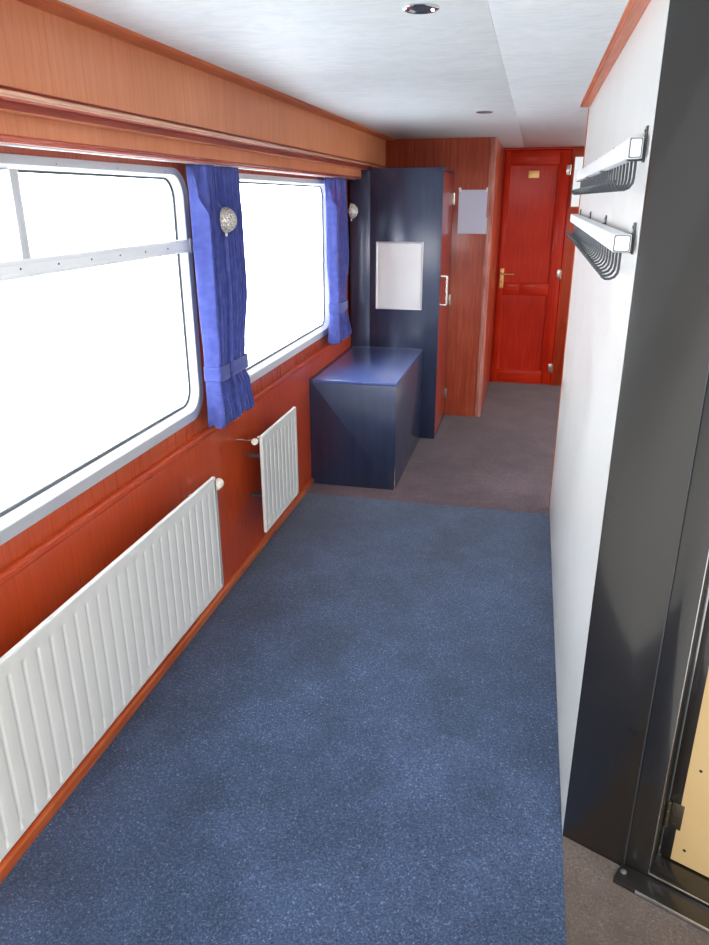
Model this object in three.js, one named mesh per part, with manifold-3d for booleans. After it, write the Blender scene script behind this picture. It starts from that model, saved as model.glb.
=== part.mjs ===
// The side passage of a passenger ship's deckhouse, as one section of about six metres: deck, ship's side
// with two windows, radiators, curtains, lockers, coat racks and the doors that open off it.
// X runs inboard from the ship's side, Y forward along the passage, Z up. Lengths are in millimetres.
import * as THREE from "three";
import { mergeVertices } from "three/addons/utils/BufferGeometryUtils.js";
import Module from "manifold-3d";

const wasm = await Module();
wasm.setup();

// Driving dimensions.
const halfLength = 2980;
const halfWidth = 1180;
const beamHeight = 106;
const deckPlate = 6;
const carpetPile = 8;
const clearHeight = 2006;
const ceilingBoard = 12;
const roofBeamHeight = 57;
const roofPlate = 5;
const sideWall = 36;
const board = 18;
const gap = 0.3;
const clearance = 5;

// Heights that follow from them.
const deckTop = beamHeight + deckPlate;
const floor = deckTop + carpetPile;
const ceiling = floor + clearHeight;
const roofBeamBottom = ceiling + ceilingBoard;
const roofTop = roofBeamBottom + roofBeamHeight + roofPlate;

// The ship's side, from outside in.
const flangeProud = 4;
const plateOut = -halfWidth + flangeProud;
const liningBack = plateOut + sideWall;
const liningFace = -1125;
const dadoFace = -1105;
const dadoTop = 877;

// Places along the passage and across it.
const bulkheadY = 1706;
const endY = 2890;
const endThickness = 60;
const cornerX = -215;
const wallX = 290;
const wallThickness = 40;
const wallAft = -2300;
const wallFore = -10;
const carpetSeamY = -113;
const cupboardAft = 42;
const cabinetAft = 1067;
const cabinetRight = -495;

// Finishes: colour, roughness, metalness.
const finishes = {
  paintedSteel: [0xe9e9e4, 0.45, 0.1],
  deckPaint: [0x5b6266, 0.6, 0.1],
  mahogany: [0xa8431f, 0.3, 0],
  doorMahogany: [0x9c2c14, 0.3, 0],
  blueCarpet: [0x2c3858, 1, 0],
  greyCarpet: [0x6d6566, 1, 0],
  whiteBoard: [0xe8eaec, 0.5, 0],
  aluminium: [0xd5d8da, 0.35, 0.8],
  glass: [0xdcecf2, 0.05, 0],
  blueCloth: [0x2a3f9e, 0.9, 0],
  radiatorWhite: [0xf1f1ec, 0.35, 0],
  darkLaminate: [0x20263a, 0.25, 0],
  blackGloss: [0x101216, 0.15, 0],
  creamPaint: [0xe3cf9f, 0.5, 0],
  brass: [0xc9a24f, 0.3, 1],
  darkSteel: [0x3c4046, 0.4, 0.6],
  chrome: [0xc8ccd0, 0.15, 1],
  silverGlass: [0xb9b6b0, 0.3, 0.4],
  brownSill: [0x3a2a22, 0.5, 0],
};

// Solids.
function solid(geometry) {
  const bare = geometry.clone();
  bare.deleteAttribute("normal");
  bare.deleteAttribute("uv");
  const merged = mergeVertices(bare, 1e-4);
  return new wasm.Manifold(
    new wasm.Mesh({
      numProp: 3,
      vertProperties: new Float32Array(merged.attributes.position.array),
      triVerts: new Uint32Array(merged.index.array),
    }),
  );
}

function block([x0, x1], [y0, y1], [z0, z1]) {
  const box = new THREE.BoxGeometry(2, 2, 2);
  const corners = box.attributes.position;
  for (let i = 0; i < corners.count; i += 1) {
    const [right, far, top] = [corners.getX(i) > 0, corners.getY(i) > 0, corners.getZ(i) > 0];
    corners.setXYZ(i, right ? x1 : x0, far ? y1 : y0, top ? z1 : z0);
  }
  return solid(box);
}

function extruded(shape, depth, curveSegments = 6) {
  return new THREE.ExtrudeGeometry(shape, { depth, bevelEnabled: false, curveSegments });
}

// An outline in Y and Z, drawn out along X.
function alongX(shape, [x0, x1]) {
  const turn = new THREE.Matrix4().set(0, 0, 1, x0, 1, 0, 0, 0, 0, 1, 0, 0, 0, 0, 0, 1);
  return solid(extruded(shape, x1 - x0).applyMatrix4(turn));
}

// An outline in X and Z, drawn out along Y.
function alongY(shape, [y0, y1]) {
  return solid(extruded(shape, y1 - y0).rotateX(Math.PI / 2).translate(0, y1, 0));
}

// An outline in X and Y, drawn out upwards.
function alongZ(shape, [z0, z1]) {
  return solid(extruded(shape, z1 - z0).translate(0, 0, z0));
}

function outline(points) {
  return new THREE.Shape(points.map(([a, b]) => new THREE.Vector2(a, b)));
}

function rounded([a0, a1], [b0, b1], radius) {
  const shape = new THREE.Shape();
  shape.moveTo(a0 + radius, b0);
  shape.lineTo(a1 - radius, b0);
  shape.absarc(a1 - radius, b0 + radius, radius, -Math.PI / 2, 0);
  shape.lineTo(a1, b1 - radius);
  shape.absarc(a1 - radius, b1 - radius, radius, 0, Math.PI / 2);
  shape.lineTo(a0 + radius, b1);
  shape.absarc(a0 + radius, b1 - radius, radius, Math.PI / 2, Math.PI);
  shape.lineTo(a0, b0 + radius);
  shape.absarc(a0 + radius, b0 + radius, radius, Math.PI, 1.5 * Math.PI);
  return shape;
}

// A round bar or disc along one axis, centred on the other two.
function bar(axis, [from, to], [a, b], radius, sides = 16) {
  const drum = new THREE.CylinderGeometry(radius, radius, to - from, sides);
  const middle = (from + to) / 2;
  if (axis === "x") drum.rotateZ(-Math.PI / 2).translate(middle, a, b);
  if (axis === "y") drum.translate(a, middle, b);
  if (axis === "z") drum.rotateX(Math.PI / 2).translate(a, b, middle);
  return solid(drum);
}

function join(pieces) {
  return pieces.reduce((whole, piece) => whole.add(piece));
}

const section = new THREE.Group();

function place(name, shape, finish, parent = section) {
  const [color, roughness, metalness] = finishes[finish];
  const made = shape.getMesh();
  const geometry = new THREE.BufferGeometry();
  geometry.setAttribute("position", new THREE.BufferAttribute(new Float32Array(made.vertProperties), 3));
  geometry.setIndex(new THREE.BufferAttribute(new Uint32Array(made.triVerts), 1));
  geometry.computeVertexNormals();
  const mesh = new THREE.Mesh(geometry, new THREE.MeshStandardMaterial({ color, roughness, metalness }));
  mesh.name = name;
  parent.add(mesh);
}

// Deck: beams around a filled core, one plate over both, then the carpets.
const beamWidth = 56;
const wholeX = [-halfWidth, halfWidth];
const wholeY = [-halfLength, halfLength];
const coreX = [wholeX[0] + beamWidth, wholeX[1] - beamWidth];
const coreY = [wholeY[0] + beamWidth, wholeY[1] - beamWidth];
const beams = block(wholeX, wholeY, [0, beamHeight]).subtract(block(coreX, coreY, [-1, beamHeight + 1]));
place("deck_beams", beams, "deckPaint");
place("deck_core", block(coreX, coreY, [0, beamHeight]), "deckPaint");
place("deck_plate", block(wholeX, wholeY, [beamHeight, deckTop]), "deckPaint");
place("carpet_blue", block([dadoFace, wallX], [-halfLength, carpetSeamY], [deckTop, floor]), "blueCarpet");
const greyOutline = outline([
  [dadoFace, carpetSeamY],
  [wallX, carpetSeamY],
  [wallX, wallFore],
  [halfWidth, wallFore],
  [halfWidth, endY],
  [cornerX, endY],
  [cornerX, bulkheadY],
  [dadoFace, bulkheadY],
]);
place("carpet_grey", alongZ(greyOutline, [deckTop, floor]), "greyCarpet");

// Windows: outline of the frame as seen from inside, in Y and Z.
const frameCorner = 100;
const frameFlange = 20;
const frameSide = 55;
const frameHead = 34;
const flangeThickness = 6;
const paneThickness = 6;
const paneX = liningFace - 24;
const windows = [
  // name, Y from and to, divided by a transom
  { name: "window_1", y: [-2845, -1325], divided: true },
  { name: "window_2", y: [-915, 605], divided: false },
];
const windowZ = [940, 1832];
const transomZ = [1551, 1596];
const dividerY = [-2273, -2247];
const barDepth = [paneX - 12, liningFace + 4];

function inset([from, to], low, high = low) {
  return [from + low, to - high];
}

function windowHole(y, depth) {
  const hole = rounded(inset(y, frameFlange), inset(windowZ, frameFlange), frameCorner - frameFlange);
  return alongX(hole, depth);
}

// Ship's side: plating with its insulation, and the lining in a dado and an upper board.
const platingTop = roofTop - roofPlate;
let plating = block([plateOut, liningBack], wholeY, [deckTop, platingTop]);
let upperLining = block([liningBack, liningFace], [-halfLength, bulkheadY], [dadoTop, ceiling]);
for (const { y } of windows) {
  plating = plating.subtract(windowHole(y, [plateOut - 1, liningBack + 1]));
  upperLining = upperLining.subtract(windowHole(y, [liningBack - 1, liningFace + 1]));
}
place("side_plating", plating, "paintedSteel");
place("lining_upper", upperLining, "mahogany");

function roundedTop([x0, x1], [z0, z1], radius) {
  const shape = new THREE.Shape();
  shape.moveTo(x0, z0);
  shape.lineTo(x1, z0);
  shape.lineTo(x1, z1 - radius);
  shape.absarc(x1 - radius, z1 - radius, radius, 0, Math.PI / 2);
  shape.lineTo(x0, z1);
  return shape;
}

const dadoRound = 12;
const skirtingProud = 15;
const skirtingHeight = 35;
const skirtingRound = 8;
place(
  "lining_dado",
  alongY(roundedTop([liningBack, dadoFace], [deckTop, dadoTop], dadoRound), [-halfLength, bulkheadY]),
  "mahogany",
);
place(
  "skirting",
  alongY(
    roundedTop([dadoFace, dadoFace + skirtingProud], [floor, floor + skirtingHeight], skirtingRound),
    [-halfLength, cupboardAft],
  ),
  "mahogany",
);

for (const { name, y, divided } of windows) {
  const opening = rounded(inset(y, frameSide), inset(windowZ, frameSide, frameHead), frameCorner - frameHead);
  const sleeveOutline = rounded(
    inset(y, frameFlange + gap),
    inset(windowZ, frameFlange + gap),
    frameCorner - frameFlange - gap,
  );
  const flangeOutline = rounded(y, windowZ, frameCorner);
  let frame = join([
    alongX(sleeveOutline, [-halfWidth, liningFace + flangeThickness]),
    alongX(flangeOutline, [liningFace, liningFace + flangeThickness]),
    alongX(flangeOutline, [-halfWidth, plateOut]),
  ]).subtract(alongX(opening, [-halfWidth - 1, liningFace + flangeThickness + 1]));
  const pane = alongX(
    rounded(
      inset(y, frameSide + gap),
      inset(windowZ, frameSide + gap, frameHead + gap),
      frameCorner - frameHead - gap,
    ),
    [paneX - paneThickness, paneX],
  );
  if (!divided) {
    place(name + "_frame", frame, "aluminium");
    place(name + "_pane", pane, "glass");
    continue;
  }
  const transom = block(barDepth, inset(y, frameSide - 1), transomZ);
  const divider = block(barDepth, dividerY, [transomZ[1] - 1, windowZ[1] - frameHead + 1]);
  frame = join([frame, transom, divider]);
  place(name + "_frame", frame, "aluminium");
  const paneParts = [
    // name, Y from and to, Z from and to
    ["low", y, [windowZ[0], transomZ[0] - gap]],
    ["vent", [y[0], dividerY[0] - gap], [transomZ[1] + gap, windowZ[1]]],
    ["high", [dividerY[1] + gap, y[1]], [transomZ[1] + gap, windowZ[1]]],
  ];
  for (const [part, span, rise] of paneParts) {
    const cut = block([paneX - paneThickness - 1, paneX + 1], span, rise);
    place(name + "_pane_" + part, pane.intersect(cut), "glass");
  }
}

// Pelmet: a deep board with its soffit and moulding, a lower board behind which the curtain rail runs.
const pelmetFace = -995;
const pelmetSoffit = 1905;
const lowerFace = -1030;
const lowerBottom = 1847;
const pelmetThickness = 15;
const mouldingProud = 10;
const mouldingZ = [1936, 1951];
const beadRadius = 4;

function pelmetProfile() {
  const shape = new THREE.Shape();
  const inner = pelmetFace - pelmetThickness;
  const middle = (mouldingZ[0] + mouldingZ[1]) / 2;
  shape.moveTo(liningFace, pelmetSoffit);
  shape.lineTo(pelmetFace, pelmetSoffit);
  shape.lineTo(pelmetFace, mouldingZ[0]);
  shape.lineTo(pelmetFace + mouldingProud, mouldingZ[0] + 3);
  shape.lineTo(pelmetFace + mouldingProud, middle);
  shape.lineTo(pelmetFace, mouldingZ[1]);
  shape.lineTo(pelmetFace, ceiling);
  shape.lineTo(inner, ceiling);
  shape.lineTo(inner, pelmetSoffit + pelmetThickness);
  shape.lineTo(liningFace, pelmetSoffit + pelmetThickness);
  return shape;
}

function lowerPelmetProfile() {
  const shape = new THREE.Shape();
  const bead = lowerBottom + 11;
  shape.moveTo(lowerFace - pelmetThickness, lowerBottom);
  shape.lineTo(lowerFace, lowerBottom);
  shape.lineTo(lowerFace, bead - beadRadius);
  shape.absarc(lowerFace, bead, beadRadius, -Math.PI / 2, Math.PI / 2);
  shape.lineTo(lowerFace, pelmetSoffit);
  shape.lineTo(lowerFace - pelmetThickness, pelmetSoffit);
  return shape;
}

place("pelmet_upper", alongY(pelmetProfile(), [-halfLength, bulkheadY]), "mahogany");
place("pelmet_lower", alongY(lowerPelmetProfile(), [-halfLength, cabinetAft]), "mahogany");
const corniceThickness = 8;
const corniceWidth = 65;
const sideCorniceX = [pelmetFace, pelmetFace + corniceWidth];
const corniceZ = [ceiling - corniceThickness, ceiling];
place("cornice_side", block(sideCorniceX, [-halfLength, bulkheadY], corniceZ), "mahogany");
const railX = [-1068, -1048];
const railZ = [lowerBottom - 4, pelmetSoffit];
place("curtain_rail", block(railX, [-halfLength + 5, cabinetAft - 60], railZ), "aluminium");

// Curtains: each a closed body as deep as its folds, wider at the foot where it flares.
const clothX = [-1094, -1015];
const clothTop = railZ[0] - gap;
const curtains = [
  // name, Y at the head, Y at the foot, height of the foot
  { name: "curtain_1_aft", head: [-2965, -2800], foot: [-2965, -2800], bottom: 890 },
  { name: "curtain_1_fore", head: [-1390, -1300], foot: [-1378, -1219], bottom: 893 },
  { name: "curtain_2_aft", head: [-1262, -1075], foot: [-1216, -1028], bottom: 893 },
  { name: "curtain_2_fore", head: [390, 640], foot: [390, 755], bottom: 893 },
];
for (const { name, head, foot, bottom } of curtains) {
  const sheet = outline([
    [foot[0], bottom],
    [foot[1], bottom],
    [head[1], clothTop],
    [head[0], clothTop],
  ]);
  place(name, alongX(sheet, clothX), "blueCloth");
}

// Wall lamps: a domed shade on an arm that comes out between the curtains.
const lampRadius = 47;
const lampZ = 1660;
const lampBaseX = -1010;
const lampArmRadius = 12;
const lampRose = { radius: 28, thickness: 10 };
const domeSteps = 7;
const lamps = [
  // name, Y
  ["wall_lamp_1", -1270],
  ["wall_lamp_2", 690],
];
for (const [name, y] of lamps) {
  const dome = new THREE.LatheGeometry(
    [
      new THREE.Vector2(0, 0),
      new THREE.Vector2(lampRadius, 0),
      ...Array.from({ length: domeSteps }, (_, i) => {
        const angle = ((i + 1) * Math.PI) / (2 * (domeSteps + 1));
        return new THREE.Vector2(lampRadius * Math.cos(angle), lampRadius * Math.sin(angle));
      }),
      new THREE.Vector2(0, lampRadius),
    ],
    24,
  );
  dome.rotateZ(-Math.PI / 2).translate(lampBaseX, y, lampZ);
  const arm = bar("x", [liningFace + 1, lampBaseX + 1], [y, lampZ], lampArmRadius);
  const rose = bar("x", [liningFace, liningFace + lampRose.thickness], [y, lampZ], lampRose.radius);
  place(name, join([solid(dome), arm, rose]), "silverGlass");
}

// Radiators: a panel with upright grooves pressed into it, held by brackets, with a valve at one end.
const radiatorBack = -1005;
const radiatorFace = -990;
const radiatorZ = [308, 768];
const groove = { depth: 4, pitch: 52, width: 18, corner: 5, margin: 38, side: 20 };
const bracketSize = 30;
const bracketInset = { y: 90, z: 120 };
const valveReach = 35;
const valveRadius = 11;
const pipeRadius = 9;
const pipeOff = { wall: 8, panel: 20 };
const radiators = [
  // name, Y from and to, the end its valve is on (1 forward, -1 aft), X and Z of the valve, its head
  { name: "radiator_1", y: [-2953, -1553], side: 1, at: [-1050, 677], head: { run: [105, 165], radius: 21 } },
  { name: "radiator_2", y: [-1051, -562], side: -1, at: [-1018, 748], head: { run: [4, 28], radius: 15 } },
];

function radiatorPanel([y0, y1]) {
  const count = Math.floor((y1 - y0 - 2 * groove.side) / groove.pitch) + 1;
  const first = (y0 + y1 - (count - 1) * groove.pitch) / 2;
  const [foot, head] = inset(radiatorZ, groove.margin);
  const half = groove.width / 2;
  let panel = block([radiatorBack, radiatorFace], [y0, y1], radiatorZ);
  for (let i = 0; i < count; i += 1) {
    const y = first + i * groove.pitch;
    const pressed = outline([
      [y - half + groove.corner, foot],
      [y + half - groove.corner, foot],
      [y + half, foot + groove.corner],
      [y + half, head - groove.corner],
      [y + half - groove.corner, head],
      [y - half + groove.corner, head],
      [y - half, head - groove.corner],
      [y - half, foot + groove.corner],
    ]);
    panel = panel.subtract(alongX(pressed, [radiatorFace - groove.depth, radiatorFace + 1]));
  }
  return panel;
}

function ends([from, to], size, margin) {
  return [
    [from + margin, from + margin + size],
    [to - margin - size, to - margin],
  ];
}

for (const { name, y, side, at, head } of radiators) {
  const brackets = ends(y, bracketSize, bracketInset.y).flatMap((along) =>
    ends(radiatorZ, bracketSize, bracketInset.z).map((z) => block([dadoFace, radiatorBack + 1], along, z)),
  );
  place(name, join([radiatorPanel(y), ...brackets]), "radiatorWhite");
  const end = side > 0 ? y[1] : y[0];
  const along = (from, to) => (side > 0 ? [end + from, end + to] : [end - to, end - from]);
  const valve = join([
    bar("y", along(-valveReach, head.run[0] + 5), at, valveRadius),
    bar("y", along(...head.run), at, head.radius),
    bar("x", [dadoFace, at[0]], [end + side * pipeOff.wall, at[1]], pipeRadius),
    bar("x", [at[0], radiatorBack - gap], [end - side * pipeOff.panel, at[1]], pipeRadius),
  ]);
  place(name + "_valve", valve, "radiatorWhite");
}

// Hinges of a door: each a barrel on the pin with a flap that lies on the door, both of them part of it.
const pinRadius = 6;
const pinOff = pinRadius + gap;
const hingeHeight = 77;
const flapWidth = 28;

function hinges([pinX, pinY], flapX, flapY, bottoms) {
  return bottoms.flatMap((bottom) => {
    const z = [bottom, bottom + hingeHeight];
    return [bar("z", z, [pinX, pinY], pinRadius, 12), block(flapX, flapY, z)];
  });
}

// Low cupboard: an open-topped chest with a lid that lifts from the wall side.
const cupboardX = [dadoFace, -595];
const cupboardY = [cupboardAft, cabinetAft];
const cupboardTop = 763;
const lidHingeX = -1080;
const lidEndY = cabinetAft - 14;
const railHeights = [cupboardTop - board - 1, cupboardTop];
const chest = join([
  block(cupboardX, cupboardY, [floor, cupboardTop - board - gap]).subtract(
    block(inset(cupboardX, board), inset(cupboardY, board), [floor + board, cupboardTop]),
  ),
  block([cupboardX[0], lidHingeX - clearance], cupboardY, railHeights),
  block(cupboardX, [lidEndY + clearance, cabinetAft], railHeights),
]);
place("low_cupboard", chest, "darkLaminate");
place(
  "low_cupboard_lid",
  block([lidHingeX, cupboardX[1]], [cupboardAft, lidEndY], [cupboardTop - board, cupboardTop]),
  "darkLaminate",
);

// Tall cabinet: carcass open to the passage, its filler to the side, and the veneered door with a bow handle.
const cabinetX = [-970, cabinetRight];
const cabinetY = [cabinetAft, bulkheadY];
const cabinetZ = [floor, 1915];
const cabinetDoorY = inset(cabinetY, board + clearance + 1, board + clearance);
const cabinetDoorZ = inset(cabinetZ, board + clearance);
const carcass = block(cabinetX, cabinetY, cabinetZ).subtract(
  block([cabinetX[0] + board, cabinetX[1] + 1], inset(cabinetY, board), inset(cabinetZ, board)),
);
place("tall_cabinet", carcass, "darkLaminate");
place(
  "cabinet_filler",
  block([dadoFace, cabinetX[0]], [cabinetAft, cabinetAft + board], [floor, pelmetSoffit - gap]),
  "darkLaminate",
);
const cabinetPin = [cabinetRight + pinOff, cabinetDoorY[1] + clearance / 2];
const cabinetHinges = hinges(
  cabinetPin,
  [cabinetRight - 2, cabinetRight + 1.5],
  [cabinetDoorY[1] - flapWidth, cabinetPin[1]],
  [260, 980, 1690],
);
const cabinetLeaf = block([cabinetRight - board, cabinetRight], cabinetDoorY, cabinetDoorZ);
place("cabinet_door", join([cabinetLeaf, ...cabinetHinges]), "mahogany");
const handleY = cabinetDoorY[0] + 30;
const handleZ = [1056, 1243];
const handleReach = 42;
const handleRod = 6;
const handleX = [cabinetRight, cabinetRight + handleReach];
const handle = join([
  bar("x", handleX, [handleY, handleZ[0]], handleRod, 12),
  bar("x", handleX, [handleY, handleZ[1]], handleRod, 12),
  bar("z", inset(handleZ, -handleRod), [handleX[1], handleY], handleRod, 12),
]);
place("cabinet_handle", handle, "aluminium");
const noticeX = [-928, -611];
const noticeZ = [1025, 1465];
place("notice_frame", block(noticeX, [cabinetAft - 8, cabinetAft], noticeZ), "aluminium");

// Corner bulkhead in mahogany, with its worn edge strip.
const bulkheadBoard = 30;
const cornerOutline = outline([
  [liningBack, bulkheadY],
  [cornerX, bulkheadY],
  [cornerX, endY],
  [cornerX - bulkheadBoard, endY],
  [cornerX - bulkheadBoard, bulkheadY + bulkheadBoard],
  [liningBack, bulkheadY + bulkheadBoard],
]);
place("corner_bulkhead", alongZ(cornerOutline, [deckTop, ceiling]), "mahogany");
const stripWidth = 40;
const stripThickness = 3;
const edgeStrip = outline([
  [cornerX - stripWidth, bulkheadY - stripThickness],
  [cornerX + stripThickness, bulkheadY - stripThickness],
  [cornerX + stripThickness, bulkheadY + stripWidth],
  [cornerX, bulkheadY + stripWidth],
  [cornerX, bulkheadY],
  [cornerX - stripWidth, bulkheadY],
]);
place("corner_strip", alongZ(edgeStrip, [floor, ceiling]), "mahogany");

// End bulkhead, door frame and door.
const endSpan = [endY, endY + endThickness];
const doorX = [-197, 337];
const doorZ = [floor + 8, 2103];
const doorThickness = 40;
const jambWidth = 12;
const jambRight = [doorX[1] + clearance, doorX[1] + clearance + jambWidth];
place("end_bulkhead_port", block([liningBack, cornerX], endSpan, [deckTop, ceiling]), "mahogany");
const lightX = [jambRight[1] + 5, 1130];
const lightZ = [1650, 2060];
const lightBorder = 12;
const lightProud = 10;
const lightHole = (margin) =>
  block(inset(lightX, margin), [endSpan[0] - 2 * lightProud, endSpan[1] + 1], inset(lightZ, margin));
place(
  "end_bulkhead_starboard",
  block([jambRight[1], halfWidth], endSpan, [deckTop, ceiling]).subtract(lightHole(0)),
  "mahogany",
);
const lightFrame = block(inset(lightX, gap), [endSpan[0] - lightProud, endSpan[1]], inset(lightZ, gap));
place("end_window_frame", lightFrame.subtract(lightHole(lightBorder)), "mahogany");
const middleY = (endSpan[0] + endSpan[1]) / 2;
place(
  "end_window_pane",
  block(
    inset(lightX, lightBorder + gap),
    [middleY - paneThickness / 2, middleY + paneThickness / 2],
    inset(lightZ, lightBorder + gap),
  ),
  "glass",
);
const stopWidth = 14;
const stopY = endY + doorThickness + clearance;
const doorwayX = [doorX[0] - clearance - 3, jambRight[0]];
const doorwayTop = doorZ[1] + clearance;
const endFrame = block([cornerX, jambRight[1]], endSpan, [deckTop, ceiling])
  .subtract(block(doorwayX, [endY - 1, stopY], [floor, doorwayTop]))
  .subtract(block(inset(doorwayX, stopWidth), [stopY - 1, endSpan[1] + 1], [floor, doorwayTop - stopWidth]));
place("end_door_frame", endFrame, "doorMahogany");

const panels = [
  // X from and to, Z from and to
  [[-151, 247], [1022, 1994]],
  [[-151, 247], [245, 930]],
];
const recess = 8;
let leaf = block(doorX, [endY, endY + doorThickness], doorZ);
for (const [x, z] of panels) {
  leaf = leaf.subtract(block(x, [endY - 1, endY + recess], z));
  leaf = leaf.subtract(block(x, [endY + doorThickness - recess, endY + doorThickness + 1], z));
}
const endPin = [doorX[1] + clearance / 2, endY - pinOff];
const endFlapX = [doorX[1] - flapWidth, endPin[0]];
const endHinges = hinges(endPin, endFlapX, [endY - 1.5, endY + 2], [240, 1070, 1910]);
place("end_door", join([leaf, ...endHinges]), "doorMahogany");

// Lever handle with its plate, on the near face (side -1) or the far one (side 1).
const plateX = [-182, -146];
const plateZ = [980, 1150];
const plateDepth = 6;
const neckRadius = 8;
const gripX = [-172, -56];
const gripZ = [1096, 1112];
const gripDepth = [34, 48];

function lever(side, face) {
  const out = (from, to) => (side < 0 ? [face - to, face - from] : [face + from, face + to]);
  const middle = [(plateX[0] + plateX[1]) / 2, (gripZ[0] + gripZ[1]) / 2];
  return join([
    block(plateX, out(0, plateDepth), plateZ),
    bar("y", out(0, gripDepth[0] + 1), middle, neckRadius),
    block(gripX, out(...gripDepth), gripZ),
  ]);
}

place("end_door_handle", lever(-1, endY), "brass");
place("end_door_handle_far", lever(1, endY + doorThickness), "brass");

// White partition with its end trim, and the strip that closes it to the ceiling.
const turn = THREE.MathUtils.degToRad(-24.5);
const portalThickness = 40;
const backCorner = [
  wallX - portalThickness * Math.sin(turn),
  wallAft + portalThickness * Math.cos(turn),
];
const trimThickness = 12;
const trimProud = 3;
const trimAft = wallFore - trimThickness;
const wallOutline = outline([
  [wallX, wallAft + 4 * gap],
  [backCorner[0] + gap, backCorner[1] + 3 * gap],
  [wallX + wallThickness, backCorner[1] + 3 * gap],
  [wallX + wallThickness, trimAft],
  [wallX, trimAft],
]);
place("partition", alongZ(wallOutline, [deckTop, ceiling]), "whiteBoard");
const trimX = [wallX - trimProud, wallX + wallThickness + trimProud];
place("partition_trim", block(trimX, [trimAft, wallFore], [floor, corniceZ[0]]), "mahogany");
const wallCorniceWidth = 42;
const wallCorniceX = [wallX - wallCorniceWidth, wallX - gap];
place("cornice_partition", block(wallCorniceX, [wallAft + 20, wallFore - 30], corniceZ), "mahogany");

// Coat racks: a box rail on brackets with a row of hooks under it.
const rackY = [-2270, -190];
const hookPitch = 70;
const hookWidth = 7;
const footYs = [-2240, -1560, -900, -230];
const footWidth = 24;
const racks = [
  // name, X of the rail from and to, Z of the rail from and to
  ["coat_rack_upper", [254, 280], [1802, 1840]],
  ["coat_rack_lower", [246, 280], [1628, 1662]],
];

// A hook's outline in X and Z: down from the rail, then out and up to its tip.
function hook(x, top) {
  return outline([
    [x + 8, top + 1],
    [x + 8, top - 46],
    [x + 2, top - 57],
    [x - 19, top - 60],
    [x - 27, top - 43],
    [x - 20, top - 40],
    [x - 14, top - 50],
    [x, top - 44],
    [x, top + 1],
  ]);
}

for (const [name, x, z] of racks) {
  const rail = block(x, rackY, z);
  const feet = footYs.map((y) => block([x[1] - 1, wallX], [y, y + footWidth], [z[0] - 4, z[1] + 6]));
  const count = Math.floor((rackY[1] - rackY[0]) / hookPitch);
  const hooks = Array.from({ length: count }, (_, i) => {
    const y = rackY[0] + (i + 0.5) * hookPitch;
    return alongY(hook(x[0] + 8, z[0]), [y, y + hookWidth]);
  });
  place(name, join([rail, ...feet, ...hooks]), "darkSteel");
}

// The black doorway that stands across the corner, in its own turned frame.
const portal = new THREE.Group();
portal.position.set(wallX, wallAft, 0);
portal.rotation.z = turn;
section.add(portal);
const portalEnd = 950;
const jamb = 60;
const openingX = [225, 791];
const openingTop = 2010;
const reveal = 110;
const leafFace = 75;
const leafThickness = 30;
const portalPanel = block([gap, portalEnd], [0, portalThickness], [deckTop, ceiling]).subtract(
  block(inset(openingX, -jamb), [-1, portalThickness + 1], [deckTop - 1, openingTop + jamb]),
);
place("portal_panel", portalPanel, "blackGloss", portal);
const sillHeight = 18;
const portalFrameX = inset(openingX, gap - jamb);
const portalFrame = block(portalFrameX, [2, reveal], [deckTop, openingTop + jamb - gap]).subtract(
  block(openingX, [1, reveal + 1], [floor + sillHeight, openingTop]),
);
place("portal_frame", portalFrame, "blackGloss", portal);
const portalPin = [openingX[0] + pinOff, leafFace - pinOff];
const portalHinges = hinges(
  portalPin,
  [openingX[0] + clearance + 1, openingX[0] + clearance + 1 + flapWidth],
  [portalPin[1], leafFace + 1],
  [230, 1000, 1850],
);
const portalLeaf = block(
  inset(openingX, clearance, clearance + 2),
  [leafFace, leafFace + leafThickness],
  [floor + sillHeight + clearance, openingTop - clearance],
);
place("portal_door", join([portalLeaf, ...portalHinges]), "creamPaint", portal);
const nearCarpet = outline([
  [wallX, -halfLength],
  [halfWidth, -halfLength],
  [halfWidth, wallAft + (halfWidth - wallX) * Math.tan(turn) - 1],
  [wallX, wallAft - 1],
]);
place("carpet_brown", alongZ(nearCarpet, [deckTop, floor]), "greyCarpet");

// Ceiling boards, downlights and the roof, a panel of plate, beams and insulation laid over the side.
const ceilingSeam = -47;
const ceilingZ = [ceiling, roofBeamBottom];
const ceilingY = [-halfLength, endSpan[1]];
place("ceiling_outboard", block([liningBack, ceilingSeam], ceilingY, ceilingZ), "whiteBoard");
place("ceiling_inboard", block([ceilingSeam, halfWidth], ceilingY, ceilingZ), "whiteBoard");
const downlightX = -193;
const lightRadius = 41;
const lightDepth = 6;
const downlights = [
  // name, Y
  ["downlight_1", -2031],
  ["downlight_2", 87],
];
for (const [name, y] of downlights) {
  place(name, bar("z", [ceiling - lightDepth, ceiling], [downlightX, y], lightRadius, 32), "chrome");
}
const overSide = block([-halfWidth - 1, liningBack], inset(wholeY, -1), [roofBeamBottom - 1, platingTop]);
const roof = block(wholeX, wholeY, [roofBeamBottom, roofTop]).subtract(overSide);
place("roof", roof, "paintedSteel");

export default section;
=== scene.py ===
# Side passage of a passenger ship's deckhouse, dressed for a studio picture.
import math
import random

import bmesh
import bpy
from mathutils import Matrix, Vector


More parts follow.
